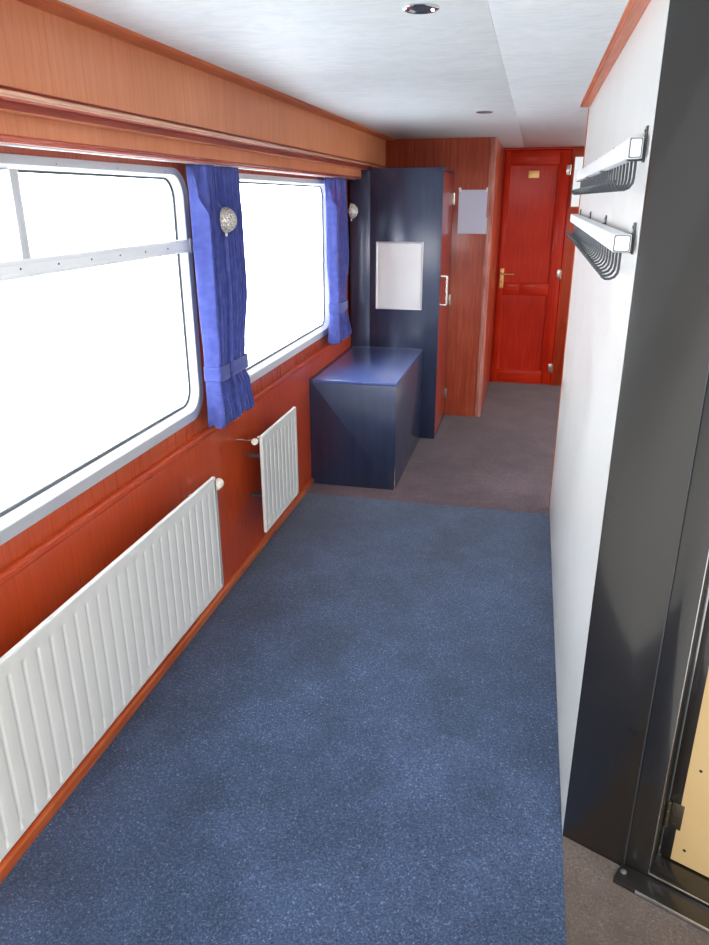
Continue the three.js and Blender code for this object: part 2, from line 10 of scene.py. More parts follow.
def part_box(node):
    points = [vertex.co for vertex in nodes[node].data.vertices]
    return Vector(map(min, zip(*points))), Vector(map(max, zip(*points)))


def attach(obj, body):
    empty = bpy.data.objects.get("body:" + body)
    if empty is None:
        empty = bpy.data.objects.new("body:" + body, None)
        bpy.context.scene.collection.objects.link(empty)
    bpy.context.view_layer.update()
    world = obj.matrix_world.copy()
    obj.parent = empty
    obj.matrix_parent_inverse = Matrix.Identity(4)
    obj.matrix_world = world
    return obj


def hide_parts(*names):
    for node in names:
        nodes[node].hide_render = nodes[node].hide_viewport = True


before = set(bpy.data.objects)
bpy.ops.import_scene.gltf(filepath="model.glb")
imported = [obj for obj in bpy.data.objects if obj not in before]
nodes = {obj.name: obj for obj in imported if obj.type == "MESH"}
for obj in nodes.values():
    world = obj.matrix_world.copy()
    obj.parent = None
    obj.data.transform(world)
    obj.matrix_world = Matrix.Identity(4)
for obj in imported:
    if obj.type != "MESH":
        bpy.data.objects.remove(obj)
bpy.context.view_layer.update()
mm = 0.001
print("frame loaded:", len(nodes), "nodes")


# Helpers for meshes, all in millimetres until a piece is finished.
def cadBox(node):
    low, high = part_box(node)
    return low / mm, high / mm


def bevelEdges(bm, edges, width, segments):
    bmesh.ops.bevel(bm, geom=edges, offset=width, offset_type="OFFSET", segments=segments, profile=0.5,
                    affect="EDGES", clamp_overlap=True)


# A box is drawn and bevelled by itself, so that its faces come in the same order each run.
def boxInto(bm, low, high, bevel=0.0, segments=2, index=0):
    box = bmesh.new()
    for v in bmesh.ops.create_cube(box, size=1.0)["verts"]:
        v.co = Vector([low[i] if v.co[i] < 0 else high[i] for i in range(3)])
    if bevel:
        bevelEdges(box, list(box.edges), bevel, segments)
    for f in box.faces:
        f.material_index = index
    mesh = bpy.data.meshes.new("box")
    box.to_mesh(mesh)
    box.free()
    bm.from_mesh(mesh)
    bpy.data.meshes.remove(mesh)


# Rows of points joined by quads, each row closed on itself.
def quadsInto(bm, rings, closedPath=False):
    rows = [[bm.verts.new(p) for p in ring] for ring in rings]
    faces = []
    for a, b in zip(rows, rows[1:] + rows[:1] if closedPath else rows[1:]):
        for j in range(len(a)):
            k = (j + 1) % len(a)
            faces.append(bm.faces.new((a[j], a[k], b[k], b[j])))
    return rows, faces


def loftInto(bm, rings, closedPath=False, index=0):
    rows, faces = quadsInto(bm, rings, closedPath)
    if not closedPath:
        faces += [bm.faces.new(rows[0][::-1]), bm.faces.new(rows[-1])]
    for f in faces:
        f.material_index = index


def acrossFrame(direction):
    axis = Vector(direction).normalized()
    side = axis.cross(Vector((0, 0, 1)) if abs(axis.z) < 0.9 else Vector((1, 0, 0))).normalized()
    return axis, side, axis.cross(side)


def turnAngles(sides):
    return [2 * math.pi * i / sides for i in range(sides)]


# A turned shape: profile is (distance along the axis, radius), and a radius of 0 closes to one point.
def latheInto(bm, origin, direction, profile, sides=24):
    axis, side, up = acrossFrame(direction)
    rings = []
    for along, radius in profile:
        centre = Vector(origin) + axis * along
        rings.append([bm.verts.new(centre + (side * math.cos(a) + up * math.sin(a)) * radius)
                      for a in (turnAngles(sides) if radius else [0])])
    for a, b in zip(rings, rings[1:]):
        for i in range(sides):
            j = (i + 1) % sides
            corners = [a[i % len(a)], a[j % len(a)], b[j % len(b)], b[i % len(b)]]
            bm.faces.new(list(dict.fromkeys(corners)))
    for ring in (rings[0][::-1], rings[-1]):
        if len(ring) > 1:
            bm.faces.new(ring)


# A rod of any section, given as (across, up) points, along an open path.
def sweepInto(bm, path, section):
    points = [Vector(p) for p in path]
    rings, side = [], None
    for i, p in enumerate(points):
        axis = (points[min(i + 1, len(points) - 1)] - points[max(i - 1, 0)]).normalized()
        if side is None:
            side = acrossFrame(axis)[1]
        side = (side - axis * side.dot(axis)).normalized()
        up = axis.cross(side)
        rings.append([p + side * s + up * u for s, u in section])
    loftInto(bm, rings)


def roundedOutline(a, b, radius, steps=6):
    points = []
    for ca, cb, start in ((a[1] - radius, b[0] + radius, -90), (a[1] - radius, b[1] - radius, 0),
                          (a[0] + radius, b[1] - radius, 90), (a[0] + radius, b[0] + radius, 180)):
        points += arc((ca, cb), radius, start, start + 90, steps)
    return points


def insetOutline(a, b, inset, radius, steps):
    return roundedOutline((a[0] + inset, a[1] - inset), (b[0] + inset, b[1] - inset), radius, steps)


def arc(centre, radius, start, end, steps=6):
    angles = [math.radians(start + (end - start) * i / steps) for i in range(steps + 1)]
    return [(centre[0] + radius * math.cos(a), centre[1] + radius * math.sin(a)) for a in angles]


# A moulding whose section is drawn in X and Z and which runs along Y.
def mouldingInto(bm, section, y0, y1):
    loftInto(bm, [[(x, y, z) for x, z in section] for y in (y0, y1)])


def addObject(name, data):
    item = bpy.data.objects.new(name, data)
    bpy.context.scene.collection.objects.link(item)
    return item


# The mesh of a drawn shape, smooth but for the edges sharper than an angle in degrees.
def smoothMesh(name, bm, angle=35, place=None):
    bmesh.ops.recalc_face_normals(bm, faces=bm.faces)
    mesh = bpy.data.meshes.new(name)
    bm.to_mesh(mesh)
    bm.free()
    if place is not None:
        mesh.transform(place)
    mesh.shade_smooth()
    mesh.set_sharp_from_angle(angle=math.radians(angle))
    return mesh


# From millimetres in a piece's own drawing to metres in the frame.
def toFrame(place):
    return Matrix.Scale(mm, 4) @ (place or Matrix.Identity(4))


def finishPiece(name, bm, finish, body="section", slot=None, stands=(), angle=35, place=None):
    bmesh.ops.remove_doubles(bm, verts=bm.verts, dist=0.002)
    piece = addObject(name, smoothMesh(name, bm, angle, toFrame(place)))
    for material in finish if isinstance(finish, list) else [finish]:
        piece.data.materials.append(material)
    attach(piece, body)
    if stands:
        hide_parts(*stands)
    return piece


# A piece made of boxes, each given by its low corner, its high corner and the width of its arrises.
def boxPiece(name, boxes, finish, segments=2, **settings):
    bm = bmesh.new()
    for low, high, bevel in boxes:
        boxInto(bm, low, high, bevel, segments)
    return finishPiece(name, bm, finish, **settings)


def turnedPiece(name, origin, direction, profile, sides, finish, **settings):
    bm = bmesh.new()
    latheInto(bm, origin, direction, profile, sides)
    return finishPiece(name, bm, finish, **settings)


# A copy of a CAD node with its loose triangles joined and its arrises softened.
def easeArrises(node, name, finish, bevel=1.2, body="section", slot=None, segments=2, least=25):
    bm = bmesh.new()
    bm.from_mesh(nodes[node].data)
    bmesh.ops.scale(bm, vec=(1 / mm,) * 3, verts=bm.verts)
    bmesh.ops.remove_doubles(bm, verts=bm.verts, dist=0.01)
    bmesh.ops.dissolve_limit(bm, angle_limit=math.radians(1), verts=bm.verts, edges=bm.edges)
    sharp = [e for e in bm.edges if e.is_manifold and e.calc_face_angle(0) > math.radians(least)]
    bevelEdges(bm, sharp, bevel, segments)
    return finishPiece(name, bm, finish, body, slot, (node,))


def useFinish(node, finish):
    nodes[node].data.materials.clear()
    nodes[node].data.materials.append(finish)


# Geometry Nodes: one small mesh repeated evenly along a straight line, each turned a little at random.
def rowOfCopies(name, unit, start, end, count, finish, body="section", slot=None, turn=0.0,
                turnAxis=(1, 0, 0), seed=3, place=None):
    unitObject = addObject(name + "Unit", smoothMesh(name + "Unit", unit))
    tree = bpy.data.node_groups.new(name + "Row", "GeometryNodeTree")
    tree.interface.new_socket("Geometry", in_out="OUTPUT", socket_type="NodeSocketGeometry")
    wanted = {"Unit": ("NodeSocketObject", unitObject), "Start": ("NodeSocketVector", start),
              "End": ("NodeSocketVector", end), "Count": ("NodeSocketInt", count),
              "Turn axis": ("NodeSocketVector", turnAxis), "Most turn": ("NodeSocketFloat", turn),
              "Least turn": ("NodeSocketFloat", -turn), "Seed": ("NodeSocketInt", seed),
              "Finish": ("NodeSocketMaterial", finish)}
    keys = {label: tree.interface.new_socket(label, in_out="INPUT", socket_type=kind).identifier
            for label, (kind, _) in wanted.items()}
    given = addNode(tree, "NodeGroupInput").outputs
    line = addNode(tree, "GeometryNodeMeshLine", {"Count": given["Count"], "Start Location": given["Start"],
                                                  "Offset": given["End"]}, mode="END_POINTS")
    piece = addNode(tree, "GeometryNodeObjectInfo", {"Object": given["Unit"]})
    amount = addNode(tree, "FunctionNodeRandomValue", {2: given["Least turn"], 3: given["Most turn"],
                                                       "Seed": given["Seed"]}, data_type="FLOAT")
    turned = addNode(tree, "ShaderNodeVectorMath", {0: given["Turn axis"], "Scale": amount},
                     operation="SCALE")
    copies = addNode(tree, "GeometryNodeInstanceOnPoints", {
        "Points": line, "Instance": piece.outputs["Geometry"], "Rotation": turned})
    real = addNode(tree, "GeometryNodeRealizeInstances", {"Geometry": copies})
    done = addNode(tree, "GeometryNodeSetMaterial", {"Geometry": real, "Material": given["Finish"]})
    addNode(tree, "NodeGroupOutput", {"Geometry": done})
    carrier = addObject(name + "Carrier", bpy.data.meshes.new(name + "Carrier"))
    modifier = carrier.modifiers.new("Row", "NODES")
    modifier.node_group = tree
    for label, (_, value) in wanted.items():
        modifier[keys[label]] = value
    bpy.context.view_layer.update()
    result = bpy.data.meshes.new_from_object(carrier.evaluated_get(bpy.context.evaluated_depsgraph_get()))
    result.name = name
    carrier.modifiers.clear()
    bpy.data.objects.remove(carrier)
    bpy.data.objects.remove(unitObject)
    result.transform(toFrame(place))
    row = addObject(name, result)
    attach(row, body)
    return row


# Helpers for materials.
def hexColour(text):
    parts = [int(text[i:i + 2], 16) / 255 for i in (1, 3, 5)]
    return tuple(c / 12.92 if c <= 0.04045 else ((c + 0.055) / 1.055) ** 2.4 for c in parts) + (1.0,)


# Sockets by name, each with the node or output that feeds it, a hex colour or a plain value.
def fillSockets(node, sockets):
    for socket, value in sockets.items():
        if isinstance(value, bpy.types.Node):
            value = next(output for output in value.outputs if output.enabled)
        if isinstance(value, bpy.types.NodeSocket):
            node.id_data.links.new(value, node.inputs[socket])
        else:
            node.inputs[socket].default_value = hexColour(value) if str(value)[0] == "#" else value


def addNode(tree, kind, sockets=None, stops=None, **settings):
    node = tree.nodes.new(kind)
    for key, value in settings.items():
        setattr(node, key, value)
    fillSockets(node, sockets or {})
    if stops:
        ramp = node.color_ramp
        while len(ramp.elements) < len(stops):
            ramp.elements.new(1.0)
        for element, (position, colour) in zip(ramp.elements, stops):
            element.position = position
            element.color = hexColour(colour) if isinstance(colour, str) else (colour,) * 3 + (1.0,)
    return node


def newMaterial(name):
    material = bpy.data.materials.new(name)
    material.use_nodes = True
    tree = material.node_tree
    place = addNode(tree, "ShaderNodeTexCoord").outputs["Object"]
    return material, tree, tree.nodes["Principled BSDF"], place


# Sliced mahogany veneer, lacquered: soft ribbons and fine pores along the grain, which catch a satin light.
veneerGrain = {  # how far the ribbons and the pores are drawn out along the grain
    "x": ((0.06, 1, 1), (0.02, 1, 1)), "y": ((1, 0.06, 1), (1, 0.02, 1)), "z": ((1, 1, 0.06), (1, 1, 0.02)),
}


def mahoganyVeneer(name, grain, dark, middle, light, gloss=0.32, coat=0.12, specular=0.3):
    material, tree, shader, place = newMaterial(name)
    drawn, fine = [addNode(tree, "ShaderNodeMapping", {"Vector": place, "Scale": scale})
                   for scale in veneerGrain[grain]]
    # ribbons about 15 mm wide, a slow change over half a metre, pores drawn coarse at 4 mm
    ribbon = addNode(tree, "ShaderNodeTexNoise", {"Vector": drawn, "Scale": 66.0, "Detail": 5.0,
                                                  "Roughness": 0.62, "Distortion": 0.3})
    cloud = addNode(tree, "ShaderNodeTexNoise", {"Vector": place, "Scale": 2.1, "Detail": 2.0})
    pores = addNode(tree, "ShaderNodeTexNoise", {"Vector": fine, "Scale": 250.0, "Detail": 3.0,
                                                 "Roughness": 0.6})
    ribbonShare = addNode(tree, "ShaderNodeMath", {0: ribbon, 1: 0.55}, operation="MULTIPLY")
    share = addNode(tree, "ShaderNodeMath", {0: cloud, 1: 0.45, 2: ribbonShare}, operation="MULTIPLY_ADD")
    tone = addNode(tree, "ShaderNodeValToRGB", {"Fac": share},
                   stops=((0.36, dark), (0.5, middle), (0.64, light)))
    line = addNode(tree, "ShaderNodeValToRGB", {"Fac": pores}, stops=((0.34, 0.6), (0.5, 1.0)))
    colour = addNode(tree, "ShaderNodeMix", {0: 0.3, 6: tone, 7: line}, data_type="RGBA",
                     blend_type="MULTIPLY")
    rough = addNode(tree, "ShaderNodeMapRange", {"Value": pores, "From Min": 0.3, "From Max": 0.7,
                                                 "To Min": gloss + 0.07, "To Max": gloss - 0.04})
    bump = addNode(tree, "ShaderNodeBump", {"Height": pores, "Distance": 0.12 * mm, "Strength": 0.45})
    fillSockets(shader, {"Base Color": colour, "Roughness": rough, "Coat Weight": coat,
                         "Coat Roughness": 0.12, "Specular IOR Level": specular, "Normal": bump})
    return material


# The pelmet's veneer is lighter and more orange than the linings: partly its own tone, and partly a painted
# sheen of daylight on it.
panelMahogany = mahoganyVeneer("mahoganyVeneerUpright", "z", "#c87a50", "#d18259", "#d98c63", 0.42)
stripMahogany = mahoganyVeneer("mahoganyVeneerAlong", "y", "#a64a24", "#bb5c31", "#cb7040")
mouldingMahogany = mahoganyVeneer("mahoganyMouldingVarnished", "y", "#9c3016", "#b44022", "#c65632",
                                  0.2, 0.9, 0.5)
# The pelmet moulding's cove and top member: a much darker veneer, painted shade in the hollows under and
# over the bead.
coveShadeMahogany = mahoganyVeneer("mahoganyCovePaintedShade", "y", "#7c2612", "#8a2f19", "#963a22", 0.4, 0.1)
# The pelmet's bead: glossy, and pale well beyond the veneer's own tone, a painted highlight of the daylight
# along it.
beadHighlightMahogany = mahoganyVeneer("mahoganyBeadPaintedHighlight", "y", "#dd9a76", "#e6aa88", "#eebb9e", 0.12, 1.0, 0.9)
liningMahogany = mahoganyVeneer("mahoganyVeneerSide", "z", "#ab431f", "#b24824", "#b84e29", 0.28, 0.3)
# The dado's veneer is darker and redder than the pelmet's: partly its own tone, and partly painted shade
# under the sill.
dadoMahogany = mahoganyVeneer("mahoganyVeneerDado", "z", "#a93815", "#b13f19", "#ba4820", 0.3, 0.25)
cornerMahogany = mahoganyVeneer("mahoganyVeneerCorner", "z", "#8c3420", "#a2452c", "#b35a40", 0.3, 0.25)
leafMahogany = mahoganyVeneer("mahoganyVeneerCabinet", "z", "#7e2620", "#8d332a", "#9b4238", 0.3, 0.5)
doorMahogany, doorMahoganyAcross = [
    mahoganyVeneer("lacqueredMahogany" + way, grain, "#a21c08", "#b5240c", "#c23214", 0.34, 0.1, 0.15)
    for way, grain in (("Upright", "z"), ("Across", "x"))]
endMahogany = mahoganyVeneer("mahoganyVeneerEnd", "z", "#8f2a14", "#a6381c", "#b4482a", 0.32, 0.12, 0.2)
wornMahogany = mahoganyVeneer("mahoganyEdgeWorn", "z", "#9a4a3a", "#c07a6c", "#dda99c", 0.45, 0.05)
print("veneers made")


# Needle-punched polypropylene felt: matted fibres in several shades, with no loops and no shine.
def needlefelt(name, dark, ground, fleck):
    material, tree, shader, place = newMaterial(name)
    # tufts of fibre about 6 mm long, drawn coarse, and trodden patches about 400 mm across
    fibre = addNode(tree, "ShaderNodeTexNoise", {"Vector": place, "Scale": 160.0, "Detail": 8.0,
                                                 "Roughness": 0.85, "Distortion": 0.8})
    traffic = addNode(tree, "ShaderNodeTexNoise", {"Vector": place, "Scale": 3.2, "Detail": 6.0,
                                                   "Roughness": 0.7})
    tone = addNode(tree, "ShaderNodeValToRGB", {"Fac": fibre},
                   stops=((0.38, dark), (0.46, ground), (0.53, ground), (0.62, fleck)))
    worn = addNode(tree, "ShaderNodeValToRGB", {"Fac": traffic}, stops=((0.36, 0.55), (0.62, 1.0)))
    colour = addNode(tree, "ShaderNodeMix", {0: 0.85, 6: tone, 7: worn}, data_type="RGBA",
                     blend_type="MULTIPLY")
    bump = addNode(tree, "ShaderNodeBump", {"Height": fibre, "Distance": 2.2 * mm, "Strength": 0.8})
    fillSockets(shader, {"Base Color": colour, "Roughness": 0.95, "Sheen Weight": 0.12,
                         "Sheen Roughness": 0.6, "Specular IOR Level": 0.15, "Normal": bump})
    return material


blueFelt = needlefelt("needlefeltBlue", "#1c253a", "#384a68", "#7f93b6")
greyFelt = needlefelt("needlefeltGrey", "#372a2d", "#5d4b51", "#8e7c84")
brownFelt = needlefelt("needlefeltBrown", "#40352f", "#64574f", "#877a70")


# Vinyl-faced ceiling board: near white, embossed with shallow waves that read as a faint cloudiness.
def embossedBoard():
    material, tree, shader, place = newMaterial("embossedVinylBoard")
    drawn = addNode(tree, "ShaderNodeMapping", {"Vector": place, "Scale": (0.5, 1, 1)})
    wave = addNode(tree, "ShaderNodeTexNoise", {"Vector": drawn, "Scale": 20.0, "Detail": 4.0,
                                                "Roughness": 0.6, "Distortion": 1.2})
    tone = addNode(tree, "ShaderNodeValToRGB", {"Fac": wave}, stops=((0.35, "#c5c9cc"), (0.65, "#d2d5d7")))
    bump = addNode(tree, "ShaderNodeBump", {"Height": wave, "Distance": 0.6 * mm, "Strength": 0.4})
    fillSockets(shader, {"Base Color": tone, "Roughness": 0.5, "Normal": bump})
    return material


# Paint, powder coat or moulded plastic: a film of slightly uneven gloss, with orange peel from spraying.
def sprayedPaint(name, colour, patch, roughness, peel, depth, coat=0.0):
    material, tree, shader, place = newMaterial(name)
    skin = addNode(tree, "ShaderNodeTexNoise", {"Vector": place, "Scale": peel, "Detail": 3.0})
    film = addNode(tree, "ShaderNodeTexNoise", {"Vector": place, "Scale": 3.8, "Detail": 4.0,
                                                "Roughness": 0.6})
    tone = addNode(tree, "ShaderNodeMix", {0: film, 6: colour, 7: patch}, data_type="RGBA")
    rough = addNode(tree, "ShaderNodeMapRange", {"Value": film, "From Min": 0.3, "From Max": 0.7,
                                                 "To Min": roughness - 0.05, "To Max": roughness + 0.08})
    bump = addNode(tree, "ShaderNodeBump", {"Height": skin, "Distance": depth * mm, "Strength": 0.5})
    fillSockets(shader, {"Base Color": tone, "Roughness": rough, "Coat Weight": coat, "Coat Roughness": 0.1,
                         "Normal": bump})
    return material


ceilingBoard = embossedBoard()
wallBoard = sprayedPaint("melamineWallboard", "#d0d0cd", "#d9d8d4", 0.34, 70.0, 0.05)
blackLacquer = sprayedPaint("blackLacquerSprayed", "#14110f", "#1b1714", 0.32, 140.0, 0.06, 1.0)
creamPaint = sprayedPaint("creamOilPaint", "#c4a26e", "#d2b584", 0.42, 90.0, 0.1)
enamel = sprayedPaint("radiatorEnamelStoved", "#d0cfca", "#d5d4cf", 0.34, 250.0, 0.015, 0.1)
ivoryPlastic = sprayedPaint("ivoryPlasticMoulded", "#e6dfcc", "#efe9d9", 0.42, 80.0, 0.03)
railPaint = sprayedPaint("greyWhiteEpoxyPowder", "#d8dadc", "#e4e6e8", 0.4, 250.0, 0.08)
hookPaint = sprayedPaint("blackEpoxyPowder", "#33373c", "#41454b", 0.38, 330.0, 0.06)
deckPrimer = sprayedPaint("deckPrimerRolled", "#565d61", "#646b6e", 0.62, 45.0, 0.25)
roofPaint = sprayedPaint("deckPaintSanded", "#a4a9a7", "#b0b5b3", 0.7, 200.0, 0.3)
rubber = sprayedPaint("greyRubberGasket", "#4a4f55", "#5b6066", 0.62, 200.0, 0.05)
paper = sprayedPaint("plainWhitePaper", "#fbfbfa", "#f4f5f6", 0.75, 160.0, 0.03)
tintedPaper = sprayedPaint("paleBluePaper", "#cfd3ea", "#dadff0", 0.75, 160.0, 0.03)
lampEnamel = sprayedPaint("frostedLens", "#eef0f2", "#f6f7f8", 0.3, 160.0, 0.02)
barWhite = sprayedPaint("whitePowderCoat", "#e6e9ec", "#f0f2f4", 0.38, 250.0, 0.05)
# A whiter, non-metal finish for the frame's inner bevel: a painted highlight where the bevel catches the
# daylight.
bevelHighlightWhite = sprayedPaint("innerBevelPaintedHighlight", "#f4f5f6", "#fafbfb", 0.3, 160.0, 0.03)
cutCore = sprayedPaint("chippedLaminateCore", "#9b8166", "#b39a80", 0.7, 260.0, 0.3)


# Drawn, turned or plated metal: satin, with faint lines along its length and a film of handling.
def drawnMetal(name, colour, roughness, lines=(1, 1, 1), deep=0.02):
    material, tree, shader, place = newMaterial(name)
    drawn = addNode(tree, "ShaderNodeMapping", {"Vector": place, "Scale": lines})
    line = addNode(tree, "ShaderNodeTexNoise", {"Vector": drawn, "Scale": 600.0, "Detail": 3.0})
    film = addNode(tree, "ShaderNodeTexNoise", {"Vector": place, "Scale": 5.5, "Detail": 3.0})
    rough = addNode(tree, "ShaderNodeMapRange", {"Value": film, "From Min": 0.3, "From Max": 0.7,
                                                 "To Min": roughness - 0.05, "To Max": roughness + 0.09})
    bump = addNode(tree, "ShaderNodeBump", {"Height": line, "Distance": deep * mm, "Strength": 0.4})
    fillSockets(shader, {"Base Color": colour, "Metallic": 1.0, "Roughness": rough, "Normal": bump})
    return material


frameAluminium = drawnMetal("anodisedAluminiumFrame", "#e3e6ea", 0.55, (1, 0.02, 1), 0.03)
stripAluminium = drawnMetal("anodisedAluminiumStrip", "#dcdee0", 0.36, (1, 1, 0.02), 0.03)
nickel = drawnMetal("nickelPlatedBrass", "#c9c6c0", 0.24, deep=0.01)
chromed = drawnMetal("chromedSteel", "#cfd2d5", 0.12, deep=0.01)
zincSteel = drawnMetal("zincPlatedScrews", "#a7a9ab", 0.4)
darkScrews = drawnMetal("bronzedScrews", "#4a4642", 0.4)
hingeBronze = drawnMetal("bronzedHingePlate", "#6d6657", 0.42)
brassPlate = drawnMetal("satinBrass", "#d9ae72", 0.34, (0.02, 1, 1))


# Float glass: clear, with a trace of green in its thickness and smears that haze it in places.
def floatGlass():
    material, tree, shader, place = newMaterial("floatGlass")
    smear = addNode(tree, "ShaderNodeTexNoise", {"Vector": place, "Scale": 4.0, "Detail": 4.0})
    rough = addNode(tree, "ShaderNodeMapRange", {"Value": smear, "From Min": 0.45, "From Max": 0.75,
                                                 "To Min": 0.0, "To Max": 0.03})
    fillSockets(shader, {"Base Color": "#f7fbfb", "Transmission Weight": 1.0, "IOR": 1.5,
                         "Roughness": rough})
    return material


glassPane = floatGlass()


# High-pressure laminate in slate navy: satin, a little streaky from wiping, so highlights break up softly.
def slateLaminate(name, dark, light):
    material, tree, shader, place = newMaterial(name)
    drawn = addNode(tree, "ShaderNodeMapping", {"Vector": place, "Scale": (1, 1, 0.12)})
    streak = addNode(tree, "ShaderNodeTexNoise", {"Vector": drawn, "Scale": 30.0, "Detail": 5.0,
                                                  "Roughness": 0.6})
    grain = addNode(tree, "ShaderNodeTexNoise", {"Vector": place, "Scale": 330.0, "Detail": 3.0})
    tone = addNode(tree, "ShaderNodeValToRGB", {"Fac": streak}, stops=((0.3, dark), (0.7, light)))
    rough = addNode(tree, "ShaderNodeMapRange", {"Value": streak, "From Min": 0.3, "From Max": 0.7,
                                                 "To Min": 0.4, "To Max": 0.52})
    bump = addNode(tree, "ShaderNodeBump", {"Height": grain, "Distance": 0.04 * mm, "Strength": 0.4})
    fillSockets(shader, {"Base Color": tone, "Roughness": rough, "Specular IOR Level": 0.8,
                         "Specular Tint": "#a9c4ff", "Coat Weight": 1.0, "Coat Roughness": 0.2,
                         "Normal": bump})
    return material


navyLaminate = slateLaminate("slateNavyLaminate", "#1b1f31", "#272c44")
# The lid is the same glossy laminate, painted much lighter and bluer: a painted sheen, the sky's reflection
# on its top.
lidSheenLaminate = slateLaminate("slateNavyLaminatePaintedSheen", "#43538a", "#5365a0")

# Woven polyester curtain cloth: plain weave with a soft sheen, and a little daylight scattered inside it.
curtainHem = {"stitches": (134, 146), "thread": 1.6}  # two rows of stitching, mm above the foot


def wovenCloth():
    material, tree, shader, _ = newMaterial("wovenCurtainCloth")
    uv = addNode(tree, "ShaderNodeUVMap", uv_map="clothUV")
    up = addNode(tree, "ShaderNodeSeparateXYZ", {"Vector": uv}).outputs["Y"]
    # threads about 1 mm apart, drawn at 2.5 mm
    warp, weft = [addNode(tree, "ShaderNodeTexWave", {"Vector": uv, "Scale": 62.0, "Distortion": 0.6,
                                                      "Detail": 1.0},
                          wave_type="BANDS", bands_direction=way).outputs["Fac"] for way in "XY"]
    weave = addNode(tree, "ShaderNodeMath", {0: warp, 1: weft}, operation="MULTIPLY")
    slub = addNode(tree, "ShaderNodeTexNoise", {"Vector": uv, "Scale": 24.0, "Detail": 4.0})
    tone = addNode(tree, "ShaderNodeValToRGB", {"Fac": slub},
                   stops=((0.3, "#3b4486"), (0.55, "#475196"), (0.8, "#5862aa")))
    lower, upper = [addNode(tree, "ShaderNodeMath", {0: up, 1: height * mm, 2: curtainHem["thread"] * mm},
                            operation="COMPARE") for height in curtainHem["stitches"]]
    seam = addNode(tree, "ShaderNodeMath", {0: lower, 1: upper}, operation="MAXIMUM")
    shade = addNode(tree, "ShaderNodeMath", {0: seam, 1: 0.35}, operation="MULTIPLY")
    colour = addNode(tree, "ShaderNodeMix", {0: shade, 6: tone, 7: "#1c2250"}, data_type="RGBA")
    sunk = addNode(tree, "ShaderNodeMath", {0: seam, 1: -3.0, 2: weave}, operation="MULTIPLY_ADD")
    bump = addNode(tree, "ShaderNodeBump", {"Height": sunk, "Distance": 0.35 * mm, "Strength": 0.6})
    fillSockets(shader, {"Base Color": colour, "Roughness": 0.82, "Sheen Weight": 0.5,
                         "Sheen Roughness": 0.35, "Specular IOR Level": 0.25, "Subsurface Weight": 0.1,
                         "Subsurface Scale": 0.012, "Normal": bump})
    return material


curtainCloth = wovenCloth()


# Silvered crackle glass: pale flakes with tarnished brown seams, under a clear glossy skin.
def crackleGlass():
    material, tree, shader, place = newMaterial("silveredCrackleGlass")
    flakes = addNode(tree, "ShaderNodeTexVoronoi", {"Vector": place, "Scale": 130.0},
                     feature="DISTANCE_TO_EDGE")
    tarnish = addNode(tree, "ShaderNodeTexNoise", {"Vector": place, "Scale": 120.0, "Detail": 4.0,
                                                   "Roughness": 0.7, "Distortion": 0.8})
    seam = addNode(tree, "ShaderNodeValToRGB", {"Fac": flakes}, stops=((0.03, "#8f8375"), (0.14, "#efede9")))
    spot = addNode(tree, "ShaderNodeValToRGB", {"Fac": tarnish}, stops=((0.4, "#9c8f81"), (0.56, "#fbfaf8")))
    colour = addNode(tree, "ShaderNodeMix", {0: 0.8, 6: seam, 7: spot},
                     data_type="RGBA", blend_type="MULTIPLY")
    bump = addNode(tree, "ShaderNodeBump", {"Height": flakes, "Distance": 0.8 * mm, "Strength": 0.5})
    fillSockets(shader, {"Base Color": colour, "Roughness": 0.4, "Metallic": 0.15, "Coat Weight": 0.4,
                         "Coat Roughness": 0.1, "Normal": bump})
    return material


lampGlass = crackleGlass()


# Painted plate whose cut ends show the mineral wool between its skins, along one axis.
def platedWool(name, axis, wool, paint, dents):
    material, tree, shader, place = newMaterial(name)
    span = addNode(tree, "ShaderNodeSeparateXYZ", {"Vector": place}).outputs[axis]
    normal = addNode(tree, "ShaderNodeNewGeometry").outputs["True Normal"]
    facing = addNode(tree, "ShaderNodeSeparateXYZ", {"Vector": normal}).outputs[axis]
    flat = addNode(tree, "ShaderNodeMath", {0: facing}, operation="ABSOLUTE")
    cut = addNode(tree, "ShaderNodeMath", {0: flat, 1: 0.5}, operation="LESS_THAN")
    over = addNode(tree, "ShaderNodeMath", {0: span, 1: wool[0] * mm}, operation="GREATER_THAN")
    under = addNode(tree, "ShaderNodeMath", {0: span, 1: wool[1] * mm}, operation="LESS_THAN")
    core = addNode(tree, "ShaderNodeMath", {0: over, 1: under}, operation="MULTIPLY")
    share = addNode(tree, "ShaderNodeMath", {0: core, 1: cut}, operation="MULTIPLY")
    strands = addNode(tree, "ShaderNodeTexNoise", {"Vector": place, "Scale": 130.0, "Detail": 5.0,
                                                   "Roughness": 0.7})
    fluff = addNode(tree, "ShaderNodeValToRGB", {"Fac": strands}, stops=((0.3, "#8c8058"), (0.7, "#b7ab80")))
    drawn = addNode(tree, "ShaderNodeMapping", {"Vector": place, "Scale": (1, 1, 0.12)})
    dirt = addNode(tree, "ShaderNodeTexNoise", {"Vector": drawn, "Scale": 11.0, "Detail": 5.0,
                                                "Roughness": 0.65})
    coat = addNode(tree, "ShaderNodeValToRGB", {"Fac": dirt}, stops=((0.3, paint[0]), (0.62, paint[1])))
    colour = addNode(tree, "ShaderNodeMix", {0: share, 6: coat, 7: fluff}, data_type="RGBA")
    rough = addNode(tree, "ShaderNodeMapRange", {"Value": dirt, "From Min": 0.3, "From Max": 0.7,
                                                 "To Min": 0.34, "To Max": 0.55})
    sunken = addNode(tree, "ShaderNodeTexNoise", {"Vector": place, "Scale": 1.9, "Detail": 1.0})
    bump = addNode(tree, "ShaderNodeBump", {"Height": sunken, "Distance": dents * mm, "Strength": 0.5})
    fillSockets(shader, {"Base Color": colour, "Roughness": rough, "Normal": bump})
    return material


